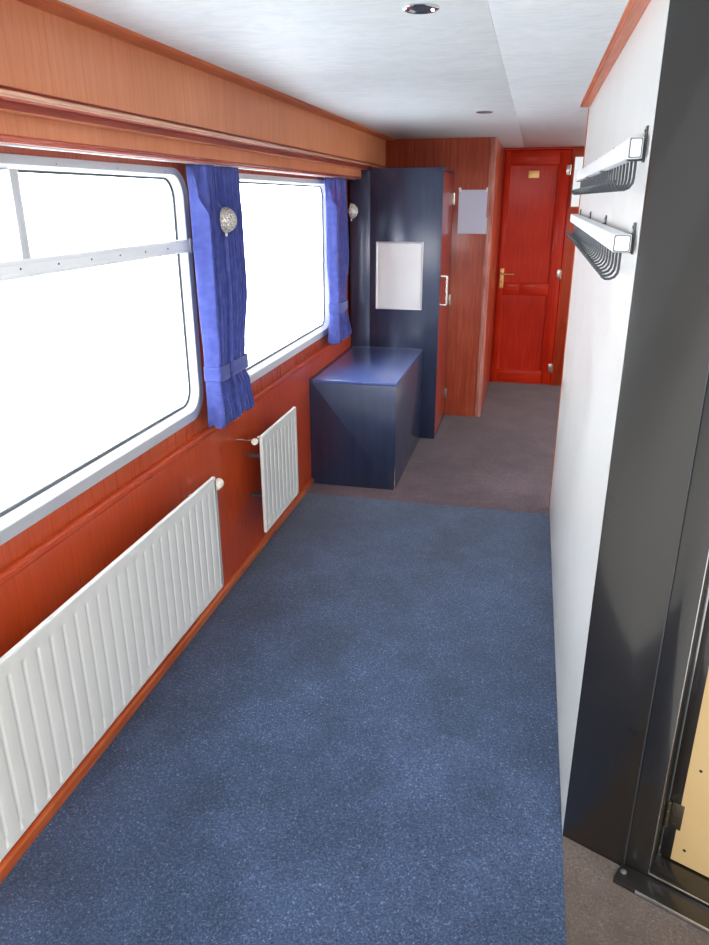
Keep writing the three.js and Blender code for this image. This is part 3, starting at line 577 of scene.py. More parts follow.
hullPaint = platedWool("hullPlateAndWool", "X", (-1171, -1130), ("#c0c4c4", "#cbcecd"), 5.0)
roofPanel = platedWool("roofPlateAndWool", "Z", (2141, 2194), ("#9ea3a2", "#b0b5b3"), 1.0)
print("finishes made")

# Deck, ship's side and linings.
easeArrises("deck_beams", "deckRimBeams", deckPrimer, 2.0, slot="deck_paint")
useFinish("deck_core", deckPrimer)
easeArrises("deck_plate", "deckTopPlate", deckPrimer, 1.0, slot="deck_paint")
easeArrises("carpet_blue", "carpetBlueField", blueFelt, 1.5, slot="blue_carpet")
easeArrises("carpet_grey", "carpetGreyField", greyFelt, 1.5, slot="grey_carpet")
easeArrises("carpet_brown", "carpetBrownField", brownFelt, 1.5, slot="grey_carpet")
useFinish("side_plating", hullPaint)
easeArrises("lining_upper", "sideLiningBoard", liningMahogany, 0.8, slot="mahogany", least=40)

dado = {"groove": 866, "grooveWidth": 3.0, "grooveDepth": 2.2, "chamfer": 0.8, "round": 11}


def buildDado():
    low, high = cadBox("lining_dado")
    face, back, top, r = high.x, low.x, high.z, dado["round"]
    g, half, deep = dado["groove"] - r, dado["grooveWidth"] / 2, dado["grooveDepth"]
    section = [(back, low.z), (face, low.z), (face, g - half), (face - deep, g - half + dado["chamfer"]),
               (face - deep, g + half - dado["chamfer"]), (face, g + half)]
    section += arc((face - r, top - r), r, 0, 90, 8)
    section += [(back, top)]
    bm = bmesh.new()
    mouldingInto(bm, section, low.y, high.y)
    finishPiece("sideDado", bm, dadoMahogany, slot="mahogany", stands=("lining_dado",))


buildDado()
easeArrises("skirting", "sideSkirting", stripMahogany, 0.8, slot="mahogany", least=40)
print("deck and linings made")

# Windows: one swept frame each, a rubber gasket round every pane, bars across the divided one.
window = {
    "spans": {"window_1": (-2845, -1325), "window_2": (-915, 605)}, "z": (940, 1832),
    "corner": 100, "side": 55, "head": 34, "face": -1119.0, "lining": -1125.0, "outside": -1180.0,
    "hull": -1176.0, "paneIn": -1149.0, "paneOut": -1155.0, "gasketProud": 3.5, "gasketLap": 4.5,
    "transom": (1551, 1596), "divider": (-2273, -2247), "barFace": -1117.0, "barBack": -1146.0,
    "outerBar": (-1170, -1155.2), "screwPitch": 155, "screwRadius": 2.8,
}


# One ring of the frame: inset d at the sides and sill, and less at the head.
def windowRing(y, x, d):
    side, head, (sill, top) = window["side"], window["head"], window["z"]
    head = d * head / side if d <= side else d - side + head
    radius = max(window["corner"] - head, 20)
    return [(x, a, b) for a, b in roundedOutline((y[0] + d, y[1] - d), (sill + d, top - head), radius, 10)]


def buildFrame(name, y):
    face, side, outside = window["face"], window["side"], window["outside"]
    section = [  # x, inset
        (window["lining"], 0.4), (face - 1.2, 0.4), (face, 1.6), (face, 34.0), (face - 0.6, 35.2),
        (face - 1.4, 36.4), (face - 4.0, 39.5), (face - 25.0, 50.5), (face - 28.0, 52.5),
        (window["paneIn"], side - 0.2), (window["paneOut"], side - 0.2), (outside + 10, side - 3),
        (outside + 1, side - 8), (outside, side - 10), (outside, 2.0), (outside + 1.5, 0.4),
        (window["hull"], 0.4), (window["hull"], 20.4), (window["lining"], 20.4),
    ]
    bm = bmesh.new()
    loftInto(bm, [windowRing(y, x, d) for x, d in section], closedPath=True)
    for f in bm.faces:  # the bevel from the flat face in to the pane, whiter than the frame: a painted highlight
        if f.calc_center_median().x < face - 1.0 and all(face - 29 < v.co.x < face for v in f.verts):
            f.material_index = 1
    finishPiece(name + "_extrusion", bm, [frameAluminium, bevelHighlightWhite], slot="aluminium",
                stands=(name + "_frame",), angle=25)


def buildGasket(name, y):
    bm = bmesh.new()
    side, lap, proud = window["side"], window["gasketLap"], window["gasketProud"]
    for near, out in ((window["paneIn"] + 0.1, 1), (window["paneOut"] - 0.1, -1)):
        section = [(near, side - 2.5), (near + out * proud * 0.7, side - 2.5),
                   (near + out * proud, side - 0.5), (near + out * proud * 0.8, side + lap * 0.5),
                   (near, side + lap)]
        loftInto(bm, [windowRing(y, x, d) for x, d in section], closedPath=True)
    finishPiece(name + "_gasket", bm, rubber, slot="dark_steel", angle=50)


for name, y in window["spans"].items():
    buildFrame(name, y)
    buildGasket(name, y)


def buildBars():
    y, bm = window["spans"]["window_1"], bmesh.new()
    z, d, face, back = window["transom"], window["divider"], window["barFace"], window["barBack"]
    aft, fore, top = y[0] + window["side"] - 2, y[1], window["z"][1] - window["head"] + 1
    # transom: a flat bar with a raised lip along its top and foot, and an end piece that laps the frame
    section = [(back, z[0]), (face - 5, z[0]), (face - 1, z[0] + 1.5), (face, z[0] + 4), (face, z[0] + 10),
               (face - 1.5, z[0] + 12), (face - 1.5, z[1] - 12), (face, z[1] - 10), (face, z[1] - 3),
               (face - 2, z[1] - 0.5), (face - 5, z[1]), (back, z[1])]
    mouldingInto(bm, section, aft, fore - 22)
    boxInto(bm, (face - 2, fore - 21.5, z[0] - 1.5), (face + 1.5, fore + 1, z[1] + 1.5), 1.2, index=1)
    boxInto(bm, (back, d[0], z[1] - 0.5), (face - 2, d[1], top), 2.0, 3, index=1)
    boxInto(bm, (face - 6, d[1] + 0.4, z[1]), (face - 4, d[1] + 9, top), 0.8)
    # outside, a plain bar behind the pane for the transom and one for the divider
    out = window["outerBar"]
    boxInto(bm, (out[0], aft, z[0] + 3), (out[1], fore - window["side"] + 2, z[1] - 3), 2.0, index=1)
    boxInto(bm, (out[0], d[0], z[1] - 4), (out[1], d[1], top), 2.0, index=1)
    finishPiece("window_1_bars", bm, [barWhite, frameAluminium], slot="aluminium")


def screwHead(radius, out=2.2, facing=(1, 0, 0)):
    bm = bmesh.new()
    profile = [(-0.5, radius), (out * 0.35, radius), (out * 0.8, radius * 0.72), (out, 0)]
    latheInto(bm, (0, 0, 0), facing, profile, 10)
    return bm


buildBars()
transomScrews = {"y": (-2752, -1517), "z": 1573.5, "x": window["barFace"] - 1.6}
first, last = transomScrews["y"]
rowOfCopies("window_1_transomScrews", screwHead(window["screwRadius"]),
            (transomScrews["x"], first, transomScrews["z"]), (transomScrews["x"], last, transomScrews["z"]),
            round((last - first) / window["screwPitch"]) + 1, darkScrews, slot="dark_steel", turn=1.5)
for name, y in window["spans"].items():
    x, z = window["face"] - 0.1, window["z"][1] - 15
    rowOfCopies(name + "_headScrews", screwHead(window["screwRadius"], 1.4), (x, y[0] + 160, z),
                (x, y[1] - 160, z), 5, zincSteel, slot="aluminium", turn=1.5)
for node in ("window_1_pane_low", "window_1_pane_vent", "window_1_pane_high", "window_2_pane",
             "end_window_pane"):
    useFinish(node, glassPane)

# The vent's pull, on its forward stile.
ventPull = {"low": (-1149, -2297, 1655), "high": (-1140, -2283, 1735), "arris": 2.5}
boxPiece("window_1_ventPull", [(ventPull["low"], ventPull["high"], ventPull["arris"])], barWhite, 3,
         slot="aluminium")
print("windows made")

# Pelmet in two boards, cornices and curtain rail.
pelmet = {"face": -995, "lowerFace": -1030, "soffit": 1905, "board": 15, "moulding": (1936, 1951)}


def buildPelmet():
    low, high = cadBox("pelmet_upper")
    face, soffit, board = pelmet["face"], pelmet["soffit"], pelmet["board"]
    foot, top = pelmet["moulding"]
    section = [(low.x, soffit), (face - 1.5, soffit), (face, soffit + 1.5), (face + 0.6, soffit + 8)]
    section += arc((face + 9.0, soffit + 11), 8.0, 190, 100, 5)  # the cove under the bead
    section += [(face + 8.2, soffit + 21), (face + 8.2, soffit + 24)]
    section += arc((face + 3.0, foot + 1.6), 6.4, -50, 85, 8)  # the bead
    section += [(face + 2.0, foot + 8.8), (face + 1.6, foot + 10.5), (face + 4.0, foot + 11.5),
                (face + 3.2, top - 1.0), (face, top), (face, high.z), (face - board, high.z),
                (face - board, soffit + board), (low.x, soffit + board)]
    bm = bmesh.new()
    mouldingInto(bm, section, low.y, high.y)
    # The cove and top member are painted dark as shade, and the bead pale as a painted highlight.
    bands = (soffit + 19, soffit + 25, foot + 7.6)  # cove, fillet, bead and top member have their own finish
    for f in bm.faces:
        middle = f.calc_center_median()
        if middle.x > face - 0.5 and middle.z < top + 0.5:
            f.material_index = 1 + sum(middle.z > z for z in bands)
    finishPiece("pelmetBoard", bm,
                [panelMahogany, coveShadeMahogany, mouldingMahogany, beadHighlightMahogany, coveShadeMahogany],
                slot="mahogany", stands=("pelmet_upper",), angle=28)
    low, high = cadBox("pelmet_lower")
    front = pelmet["lowerFace"]
    section = [(low.x, low.z), (front - 1, low.z), (front, low.z + 1), (front, low.z + 6.4)]
    section += arc((front, low.z + 11), 4.0, -78, 78, 7)
    section += [(front, low.z + 15.6), (front, high.z), (low.x, high.z)]
    bm = bmesh.new()
    mouldingInto(bm, section, low.y, high.y)
    for f in bm.faces:
        middle = f.calc_center_median()
        f.material_index = 1 if middle.z < low.z + 16 and middle.x > front - 1.5 else 0
    finishPiece("pelmetLowerBoard", bm, [panelMahogany, mouldingMahogany], slot="mahogany",
                stands=("pelmet_lower",), angle=28)


# A cornice strip: flat against its board, with a quarter round along its open edge.
def buildCornice(node, name, way):
    low, high = cadBox(node)
    back, edge = (low.x, high.x) if way > 0 else (high.x, low.x)
    r = high.z - low.z - 1
    section = [(back, high.z), (back, low.z), (edge - way * 12, low.z), (edge - way * 10, low.z + 1.6)]
    section += arc((edge - way * r, high.z - 0.2), r, -90 + way * 10, -90 + way * 90, 5)
    section += [(edge, high.z)]
    bm = bmesh.new()
    mouldingInto(bm, section, low.y, high.y)
    finishPiece(name, bm, stripMahogany, slot="mahogany", stands=(node,), angle=28)


buildPelmet()
buildCornice("cornice_side", "corniceOverPelmet", 1)
buildCornice("cornice_partition", "corniceOverPartition", -1)

curtainTrack = {"wall": 2.0, "slot": 7.0, "channel": 14, "web": 3.0, "gliderPitch": 46,
                "gliderAt": (-1058, 1847)}


# The rail: a hanger web from the soffit with a C-shaped channel along its foot.
def buildTrack():
    low, high = cadBox("curtain_rail")
    t, half, web = curtainTrack["wall"], curtainTrack["slot"] / 2, curtainTrack["web"] / 2
    mid, crown = (low.x + high.x) / 2, low.z + curtainTrack["channel"]
    section = [(low.x, low.z), (mid - half, low.z), (mid - half, low.z + t), (low.x + t, low.z + t),
               (low.x + t, crown - t), (high.x - t, crown - t), (high.x - t, low.z + t),
               (mid + half, low.z + t), (mid + half, low.z), (high.x, low.z), (high.x, crown),
               (mid + web, crown), (mid + web, high.z), (mid - web, high.z), (mid - web, crown),
               (low.x, crown)]
    bm = bmesh.new()
    mouldingInto(bm, section, low.y, high.y)
    finishPiece("curtainTrack", bm, stripAluminium, slot="aluminium", stands=("curtain_rail",))


buildTrack()

# Curtains: gathered at a tape, with one broad fold and narrow pleats, drawn in by a strap.
curtains = {  # y at the head, at the strap and at the foot; the broad fold's end; depth of the other edge
    "curtain_1_aft": {"head": (-2961, -2804), "strap": (-2925, -2840), "foot": (-2961, -2804),
                      "pleats": 5, "broad": 1, "edge": 0.3, "seed": 4},
    "curtain_1_fore": {"head": (-1387, -1303), "strap": (-1370, -1286), "foot": (-1375, -1222),
                       "pleats": 4, "broad": -1, "edge": 0.3, "seed": 7},
    "curtain_2_aft": {"head": (-1259, -1060), "strap": (-1250, -1092), "foot": (-1213, -1031),
                      "pleats": 6, "broad": -1, "edge": 0.7, "seed": 11},
    "curtain_2_fore": {"head": (393, 637), "strap": (440, 640), "foot": (393, 752),
                       "pleats": 7, "broad": -1, "edge": 0.3, "seed": 2},
}
cloth = {"near": -1018.0, "far": -1090.5, "top": 1842.0, "bottom": 896, "tape": 100, "fold": 170,
         "still": 1400, "drawnIn": 1300, "strap": (1082, 1136), "columns": 190, "rows": 80,
         "thickness": 1.1, "strapThickness": 1.6, "strapRound": 9, "strapSlack": 5}


def smoothLine(points, count):
    samples = []
    for i in range(count):
        t = i / (count - 1) * (len(points) - 1)
        k = min(int(t), len(points) - 2)
        f = t - k
        near = [points[max(k - 1, 0)], points[k], points[k + 1], points[min(k + 2, len(points) - 1)]]
        samples.append(tuple(0.5 * (2 * q + (r - p) * f + (2 * p - 5 * q + 4 * r - s) * f * f
                                    + (3 * q - p - 3 * r + s) * f ** 3) for p, q, r, s in zip(*near)))
    return samples


def ease(t):
    t = min(max(t, 0.0), 1.0)
    return t * t * (3 - 2 * t)


# Control points of one level, as (y, depth from 0 at the wall to 1 in the room): a broad fold, then pleats.
def pleatLine(span, spec, broad, outward, inward, rng):
    y0, y1 = span if spec["broad"] < 0 else span[::-1]
    width = y1 - y0
    line = [(y0 + 0.20 * width, 0.09), (y0 + 0.05 * width, 0.05), (y0, 0.14 * broad),
            (y0 + 0.01 * width, 0.55 * broad), (y0 + 0.03 * width, 0.93 * broad), (y0 + 0.08 * width, broad),
            (y0 + 0.13 * width, broad - 0.14)]
    steps = spec["pleats"] * 2
    for i in range(steps):
        share = 0.17 + 0.83 * (i + 0.6) / steps
        limit = broad + (1 - broad) * ease((share - 0.10) / 0.22)
        reach = outward - 0.10 * rng.random() if i % 2 else inward + 0.14 * rng.random()
        line.append((y0 + width * (share + (rng.random() - 0.5) * 0.4 / steps), reach * limit))
    line.append((y1, spec["edge"]))
    return line


# The curtain's plan at each height that is drawn; the ones between are blended.
def curtainLevels(spec):
    (strapLow, strapHigh), top, bottom = cloth["strap"], cloth["top"], cloth["bottom"]
    levels = []
    for height, where, broad, outward, inward in (
            (top, "head", 0.36, 0.92, 0.66), (top - cloth["tape"], "head", 0.52, 0.96, 0.56),
            (top - cloth["fold"], "head", 1.0, 1.0, 0.36), (cloth["still"], "head", 1.0, 1.0, 0.30),
            (strapHigh + 40, "strap", 0.96, 0.94, 0.60), (strapHigh, "strap", 0.88, 0.86, 0.62),
            (strapLow, "strap", 0.88, 0.86, 0.62), (strapLow - 60, "foot", 0.96, 0.96, 0.50),
            (bottom, "foot", 1.0, 1.0, 0.34)):
        share = (top - height) / (top - bottom)
        span = [a + (b - a) * share for a, b in zip(spec["head"], spec["foot"])]
        if where == "strap":
            span = spec["strap"]
        elif where == "foot" and height > bottom:
            span = [(a + b) / 2 for a, b in zip(span, spec["strap"])]
        line = pleatLine(span, spec, broad, outward, inward, random.Random(spec["seed"]))
        levels.append((height, smoothLine(line, cloth["columns"])))
    return levels


# Rows of points joined to cloth, with the way across and the way up it, in mm, as its UVs in metres.
def clothPiece(name, rows, across, up, thickness, closed=False, **settings):
    bm = bmesh.new()
    uv = bm.loops.layers.uv.new("clothUV")
    grid = [[bm.verts.new(p) for p in row] for row in rows]
    count = len(grid[0])
    for i in range(len(grid) - 1):
        for j in range(count if closed else count - 1):
            k = (j + 1) % count
            f = bm.faces.new((grid[i][j], grid[i][k], grid[i + 1][k], grid[i + 1][j]))
            for loop, (r, c) in zip(f.loops, ((i, j), (i, j + 1), (i + 1, j + 1), (i + 1, j))):
                loop[uv].uv = (across[c] * mm, up[r] * mm)
    piece = finishPiece(name, bm, curtainCloth, slot="blue_cloth", angle=180, **settings)
    modifier = piece.modifiers.new("Cloth thickness", "SOLIDIFY")
    modifier.thickness = thickness * mm
    modifier.offset = 0
    return piece


def buildCurtain(node, spec):
    (strapLow, strapHigh), top, bottom = cloth["strap"], cloth["top"], cloth["bottom"]
    near, far, seed = cloth["near"], cloth["far"], spec["seed"]
    levels = curtainLevels(spec)
    edges = [f(spec["head"][i], spec["foot"][i]) for i, f in ((0, min), (1, max))]
    gather = random.Random(seed + 50)
    tuck = [gather.random() for _ in range(cloth["columns"])]
    rows, heights = [], []
    for r in range(cloth["rows"] + 1):
        z = top - (top - bottom) * r / cloth["rows"]
        k = next(i for i in range(len(levels) - 1) if levels[i + 1][0] <= z + 1e-6)
        (za, a), (zb, b) = levels[k], levels[k + 1]
        t = ease((za - z) / (za - zb))
        inTape = ease((z - (top - cloth["tape"])) / 60)
        loose = 1 - ease((z - top + 60) / 60)
        if z <= cloth["drawnIn"]:
            loose = ease(abs(z - (strapLow + strapHigh) / 2) / 120)
        foot = ease((strapLow - 20 - z) / 150)
        row = []
        for c in range(cloth["columns"]):
            y = a[c][0] + (b[c][0] - a[c][0]) * t
            d = a[c][1] + (b[c][1] - a[c][1]) * t
            # small tucks under the heading tape, a slow drift of each fold on its way down, a wavy foot
            d += inTape * 0.05 * math.sin(c * 1.3 + 2 * tuck[c])
            y += 2.4 * loose * math.sin(z / 170 + c * 0.09 + seed)
            d += foot * 0.04 * math.sin(c * 0.45 + seed)
            lift = foot * 6.0 * math.sin(c * 0.27 + seed * 1.7) + foot * 5.0
            y = min(max(y, edges[0] + 0.5), edges[1] - 0.5)
            row.append((far + (near - far) * min(max(d, 0.01), 0.99), y, z + max(lift, 0)))
        rows.append(row)
        heights.append(z - bottom)
    middleRow = [Vector(p) for p in rows[len(rows) // 2]]
    along = [0.0]
    for p, q in zip(middleRow, middleRow[1:]):
        along.append(along[-1] + (q - p).length)
    return clothPiece(node + "_cloth", rows, along, heights, cloth["thickness"], stands=(node,))


# The strap that draws a curtain in: a stitched band round its outer folds.
def buildStrap(node, spec):
    (low, high), span, slack = cloth["strap"], spec["strap"], cloth["strapSlack"]
    near, far = cloth["near"] - 2.0, cloth["far"] + 1.0
    outline = roundedOutline((far, near), (span[0] - slack, span[1] + slack), cloth["strapRound"])
    centre = Vector(((near + far) / 2, sum(span) / 2, 0))
    bands = ((low, 0.0), (low + 3, 0.8), (low + 8, 0.9), (low + 11, 0.3), ((low + high) / 2, 1.2),
             (high - 11, 0.3), (high - 8, 0.9), (high - 3, 0.8), (high, 0.0))  # height, bulge
    rows = []
    for z, out in bands:
        row = []
        for i, (x, y) in enumerate(outline):
            away = (Vector((x, y, 0)) - centre).normalized()
            wave = 0.5 * math.sin(i * 1.7 + spec["seed"])
            row.append((x + away.x * out, y + away.y * (out + wave), z + 1.2 * math.sin(i * 0.5)))
        rows.append(row)
    across = [8 * c for c in range(len(outline) + 1)]
    up = [z - low + 300 for z, _ in bands]
    return clothPiece(node + "_strap", rows, across, up, cloth["strapThickness"], closed=True)


for node, spec in curtains.items():
    piece = buildCurtain(node, spec)
    strap = buildStrap(node, spec)
    glider = bmesh.new()
    boxInto(glider, (-3, -4, 0), (3, 4, 5), 0.8)
    boxInto(glider, (-2, -1.5, -6), (2, 1.5, 1), 0.5)
    (x, z), (y0, y1) = curtainTrack["gliderAt"], spec["head"]
    rowOfCopies(node + "_gliders", glider, (x, y0 + 12, z), (x, y1 - 12, z),
                round((y1 - y0) / curtainTrack["gliderPitch"]) + 1, ivoryPlastic, slot="white_board")
print("curtains made")

# Wall lamps: a silvered dome on a turned arm, with a small glass drop under it.
wallLamp = {"radius": 45, "wall": -1125, "base": -1010, "z": 1660, "arm": 9, "rose": 28}


def buildLamp(node):
    low, high = cadBox(node)
    y, r, base, z = (low.y + high.y) / 2, wallLamp["radius"], wallLamp["base"], wallLamp["z"]
    arm, rose = wallLamp["arm"], wallLamp["rose"]
    dome = [(0.0, 0), (0.0, r - 4), (0.6, r - 1.2), (2.0, r)]
    dome += [(max(across, 2.1), out) for out, across in arc((0, 0), r, 0, 90, 16)[1:-1]]
    turnedPiece(node + "_shade", (base, y, z), (1, 0, 0), dome + [(r, 0)], 48, lampGlass,
                slot="lamp_glass", stands=(node,), angle=60)
    turnedPiece(node + "_mount", (wallLamp["wall"], y, z), (1, 0, 0),
                [(0, rose), (3, rose), (6, rose - 3), (8, 15), (10, 11), (16, arm), (92, arm), (98, 12),
                 (104, 16), (109, 22), (113, 34), (115.2, 36), (115.2, 0)], 32, nickel,
                slot="chrome", angle=40)
    turnedPiece(node + "_drop", (base + 4, y, z - r + 4), (0, 0, -1),
                [(0, 2.0), (4, 2.0), (5, 3.2), (7, 4.6), (10, 4.8), (14, 3.0), (17, 1.2), (17.6, 0)], 16,
                lampEnamel, slot="lamp_glass", angle=60)


buildLamp("wall_lamp_1")
buildLamp("wall_lamp_2")
print("lamps made")

# Radiators: a stoved steel panel with upright grooves pressed into it, and a valve with a ribbed head.
radiator = {"face": -990.0, "core": -995.0, "back": -1005.0, "wall": -1105.0, "z": (308, 768), "rim": 12.0,
            "pitch": 52, "groove": 7.5, "end": 39.0, "bracket": 10, "bracketIn": 105, "bracketZ": (438, 633)}
valves = {  # end it is on, x and z of its middle, head's run and radius, body's size, pipe's radius
    "radiator_1": {"side": 1, "at": (-1050, 677), "head": (105, 165), "radius": 20.5,
                   "body": 1.0, "pipe": 9.0},
    "radiator_2": {"side": -1, "at": (-1018, 748), "head": (4, 28), "radius": 14.5,
                   "body": 0.8, "pipe": 4.0},
}
grooveDepths = ((0.0, 0.2), (1.6, 0.7), (3.2, 1.3), (4.8, 1.7), (6.4, 1.8))  # inset, depth


# One pitch of the panel's face with its groove: the flat field round it, the rolled edge and the hollow.
def grooveUnit(tall):
    half, wide, end = radiator["pitch"] / 2, radiator["groove"], radiator["end"] - radiator["rim"]
    steps, lip = 6, 1.5
    spans = (-wide, wide), (end, tall - end)
    ring = insetOutline(*spans, -lip, wide + lip, steps)
    field = []
    for corner, (side, top) in enumerate(((1, 0), (1, 1), (-1, 1), (-1, 0))):
        centre = Vector((0.0, tall - end - wide if top else end + wide))
        target = Vector((side * half, tall if top else 0.0))
        outer = []
        for point in ring[corner * (steps + 1):(corner + 1) * (steps + 1)]:
            ray = Vector(point) - centre
            reach = min(abs((target[n] - centre[n]) / ray[n]) for n in (0, 1) if abs(ray[n]) > 1e-4)
            outer.append(centre + ray * reach)
        nearest = min(range(len(outer)), key=lambda i: (outer[i] - target).length)
        outer[nearest] = target
        field += outer
    rings = [[(0.0, *p) for p in field], [(0.0, *p) for p in ring]]
    rings += [[(-depth, *p) for p in insetOutline(*spans, inset, wide - inset, steps)]
              for inset, depth in grooveDepths]
    bm = bmesh.new()
    rows, _ = quadsInto(bm, rings)
    bm.faces.new(rows[-1])
    return bm


def buildRadiator(node):
    low, high = cadBox(node)
    y, z, pitch, inside = (low.y, high.y), radiator["z"], radiator["pitch"], radiator["bracketIn"]
    face, core, back, rim = radiator["face"], radiator["core"], radiator["back"], radiator["rim"]
    bm = bmesh.new()
    boxInto(bm, (back + 0.5, y[0] + 2, z[0] + 2), (core, y[1] - 2, z[1] - 2))
    rings = []
    for x, inset in ((back, 3), (back, 1.5), (back + 1.5, 0), (face - 3.5, 0), (face - 1.6, 0.5),
                     (face - 0.5, 1.6), (face, 3.5), (face, rim), (core - 0.5, rim), (core - 0.5, 3)):
        rings.append([(x, a, b) for a, b in ((y[0] + inset, z[0] + inset), (y[1] - inset, z[0] + inset),
                                             (y[1] - inset, z[1] - inset), (y[0] + inset, z[1] - inset))])
    loftInto(bm, rings, closedPath=True)
    count = math.floor((y[1] - y[0] - 40) / pitch) + 1
    first = (y[0] + y[1] - (count - 1) * pitch) / 2
    last = first + (count - 1) * pitch
    for a, b in ((y[0] + rim, first - pitch / 2), (last + pitch / 2, y[1] - rim)):
        if b - a > 0.05:
            boxInto(bm, (core, a, z[0] + rim), (face, b, z[1] - rim))
    finishPiece(node + "_panel", bm, enamel, slot="radiator_enamel", stands=(node,), angle=40)
    rowOfCopies(node + "_grooves", grooveUnit(z[1] - z[0] - 2 * rim), (face, first, z[0] + rim),
                (face, last, z[0] + rim), count, enamel, slot="radiator_enamel")
    # The brackets take the dark powder coat so that they read as the shade behind the panel: painted shade.
    boxPiece(node + "_brackets",
             [((radiator["wall"], along - 10, up), (back + 0.5, along + 10, up + radiator["bracket"]), 1.5)
              for along in (y[0] + inside, y[1] - inside) for up in radiator["bracketZ"]],
             hookPaint, slot="dark_steel")


def buildValve(node, spec):
    low, high = cadBox(node)
    side, (x, z), (head, tip), k = spec["side"], spec["at"], spec["head"], spec["body"]
    end = high.y if side > 0 else low.y
    body, knob = bmesh.new(), bmesh.new()
    latheInto(body, (x, end - side * 34, z), (0, side, 0),
              [(0, 8 * k), (0, 10 * k), (10, 11 * k), (12, 13.5 * k), (26, 13.5 * k), (28, 10.5 * k),
               (head + 34, 10.5 * k), (head + 34, 8 * k)], 20)
    if head > 20:
        nut = [(12.5 * k * math.cos(a), 12.5 * k * math.sin(a)) for a in turnAngles(6)]
        loftInto(body, [[(x + u, end + side * d, z + v) for u, v in nut] for d in (head - 14, head - 2)])
    for start, stop, off, r in ((radiator["wall"], x, 8, spec["pipe"]), (x, radiator["back"], -20, 9 * k)):
        latheInto(body, (start, end + side * off, z), (1, 0, 0), [(0, r), (stop - start, r)], 18)
    finishPiece(node + "_valveBody", body, nickel, slot="chrome", angle=40)
    rings = []
    for share, radius, rib in ((0, 0.55, 0), (0.16, 0.58, 0), (0.24, 0.80, 0), (0.30, 0.92, 0.02),
                               (0.36, 0.98, 0.05), (0.86, 1.0, 0.06), (0.94, 0.97, 0.04), (0.985, 0.90, 0.0),
                               (1, 0.82, 0)):
        sizes = [spec["radius"] * (radius - (rib if i % 4 < 2 else 0)) for i in range(48)]
        rings.append([(x + r * math.cos(a), end + side * (head + share * (tip - head)), z + r * math.sin(a))
                      for a, r in zip(turnAngles(48), sizes)])
    loftInto(knob, rings)
    finishPiece(node + "_valveHead", knob, ivoryPlastic, slot="radiator_enamel", stands=(node + "_valve",))


for node, spec in valves.items():
    buildRadiator(node)
    buildValve(node, spec)
print("radiators made")

# Low cupboard and tall cabinet.
easeArrises("low_cupboard", "cupboardChest", navyLaminate, 1.2, slot="dark_laminate")
# The lid takes the lighter laminate, which is a painted sheen.
easeArrises("low_cupboard_lid", "cupboardLid", lidSheenLaminate, 2.5, "cupboard_lid", "dark_laminate", segments=3)
easeArrises("tall_cabinet", "cabinetCarcass", navyLaminate, 1.0, slot="dark_laminate")
easeArrises("cabinet_filler", "cabinetFillerBoard", navyLaminate, 1.0, slot="dark_laminate")

cupboardChip = {"tall": 150, "widths": (5, 2.5, 4, 1.5, 3, 1.2, 0.6), "proud": 0.35}


# Where the laminate has broken away from the cupboard's lower corner, the pale core shows.
def buildChip():
    low, high = cadBox("low_cupboard")
    cx, cy, out, widths = high.x, low.y, cupboardChip["proud"], cupboardChip["widths"]
    rings = []
    for i, w in enumerate(widths):
        z = low.z + 0.5 + cupboardChip["tall"] * i / (len(widths) - 1)
        rings.append([(cx - w, cy - out, z), (cx + out, cy - out, z), (cx + out, cy + 0.7 * w, z),
                      (cx - 1, cy + 0.7 * w, z), (cx - 1, cy + 1, z), (cx - w, cy + 1, z)])
    bm = bmesh.new()
    loftInto(bm, rings)
    finishPiece("cupboardChippedCorner", bm, cutCore, slot="dark_laminate", angle=30)


buildChip()

hinge = {"pin": 6.0, "height": 77, "knuckles": 3, "screw": 2.8}


# Butt hinges of one leaf: three knuckles on a pin, and a flap with its screws that lies on the leaf.
def hingePiece(name, pin, flapX, flapY, bottoms, facing, finish, body, place=None):
    bm = bmesh.new()
    tall, r, screw = hinge["height"], hinge["pin"], hinge["screw"]
    middleX, middleY = sum(flapX) / 2 - 4, sum(flapY) / 2 - 4
    part = tall / hinge["knuckles"]
    for bottom in bottoms:
        for k in range(hinge["knuckles"]):
            latheInto(bm, (*pin, bottom + k * part + 0.25), (0, 0, 1),
                      [(0, r - 0.5), (0.5, r), (part - 1, r), (part - 0.5, r - 0.5)], 20)
        latheInto(bm, (*pin, bottom - 1.5), (0, 0, 1),
                  [(0, 2), (0.8, 3.6), (tall + 2.2, 3.6), (tall + 3, 2)], 16)
        boxInto(bm, (flapX[0], flapY[0], bottom), (flapX[1], flapY[1], bottom + tall), 0.4)
        for z in (bottom + share * tall for share in (0.18, 0.5, 0.82)):
            at = (middleX, flapY[0] + 0.3, z) if facing[1] else (flapX[1] - 0.3, middleY, z)
            latheInto(bm, at, facing, [(0, screw), (0.5, screw), (0.9, 1.6), (0.9, 0)], 12)
    finishPiece(name, bm, finish, body, "chrome", angle=30, place=place)


cabinetLeaf = {"low": (-513, 1091, 143), "high": (-495, 1683, 1892), "arris": 1.4,
               "pin": (-488.7, 1685.5), "flapX": (-495, -493.5), "flapY": (1655, 1685.5),
               "hinges": (260, 980, 1690)}
boxPiece("cabinetLeaf", [(cabinetLeaf["low"], cabinetLeaf["high"], cabinetLeaf["arris"])], leafMahogany, 3,
         body="cabinet_leaf", slot="mahogany", stands=("cabinet_door",))
hingePiece("cabinetLeafHinges", cabinetLeaf["pin"], cabinetLeaf["flapX"], cabinetLeaf["flapY"],
           cabinetLeaf["hinges"], (1, 0, 0), nickel, "cabinet_leaf")

bowHandle = {"y": 1121.0, "face": -495.0, "reach": -453.0, "z": (1056, 1243), "rod": 6.8, "bend": 9}


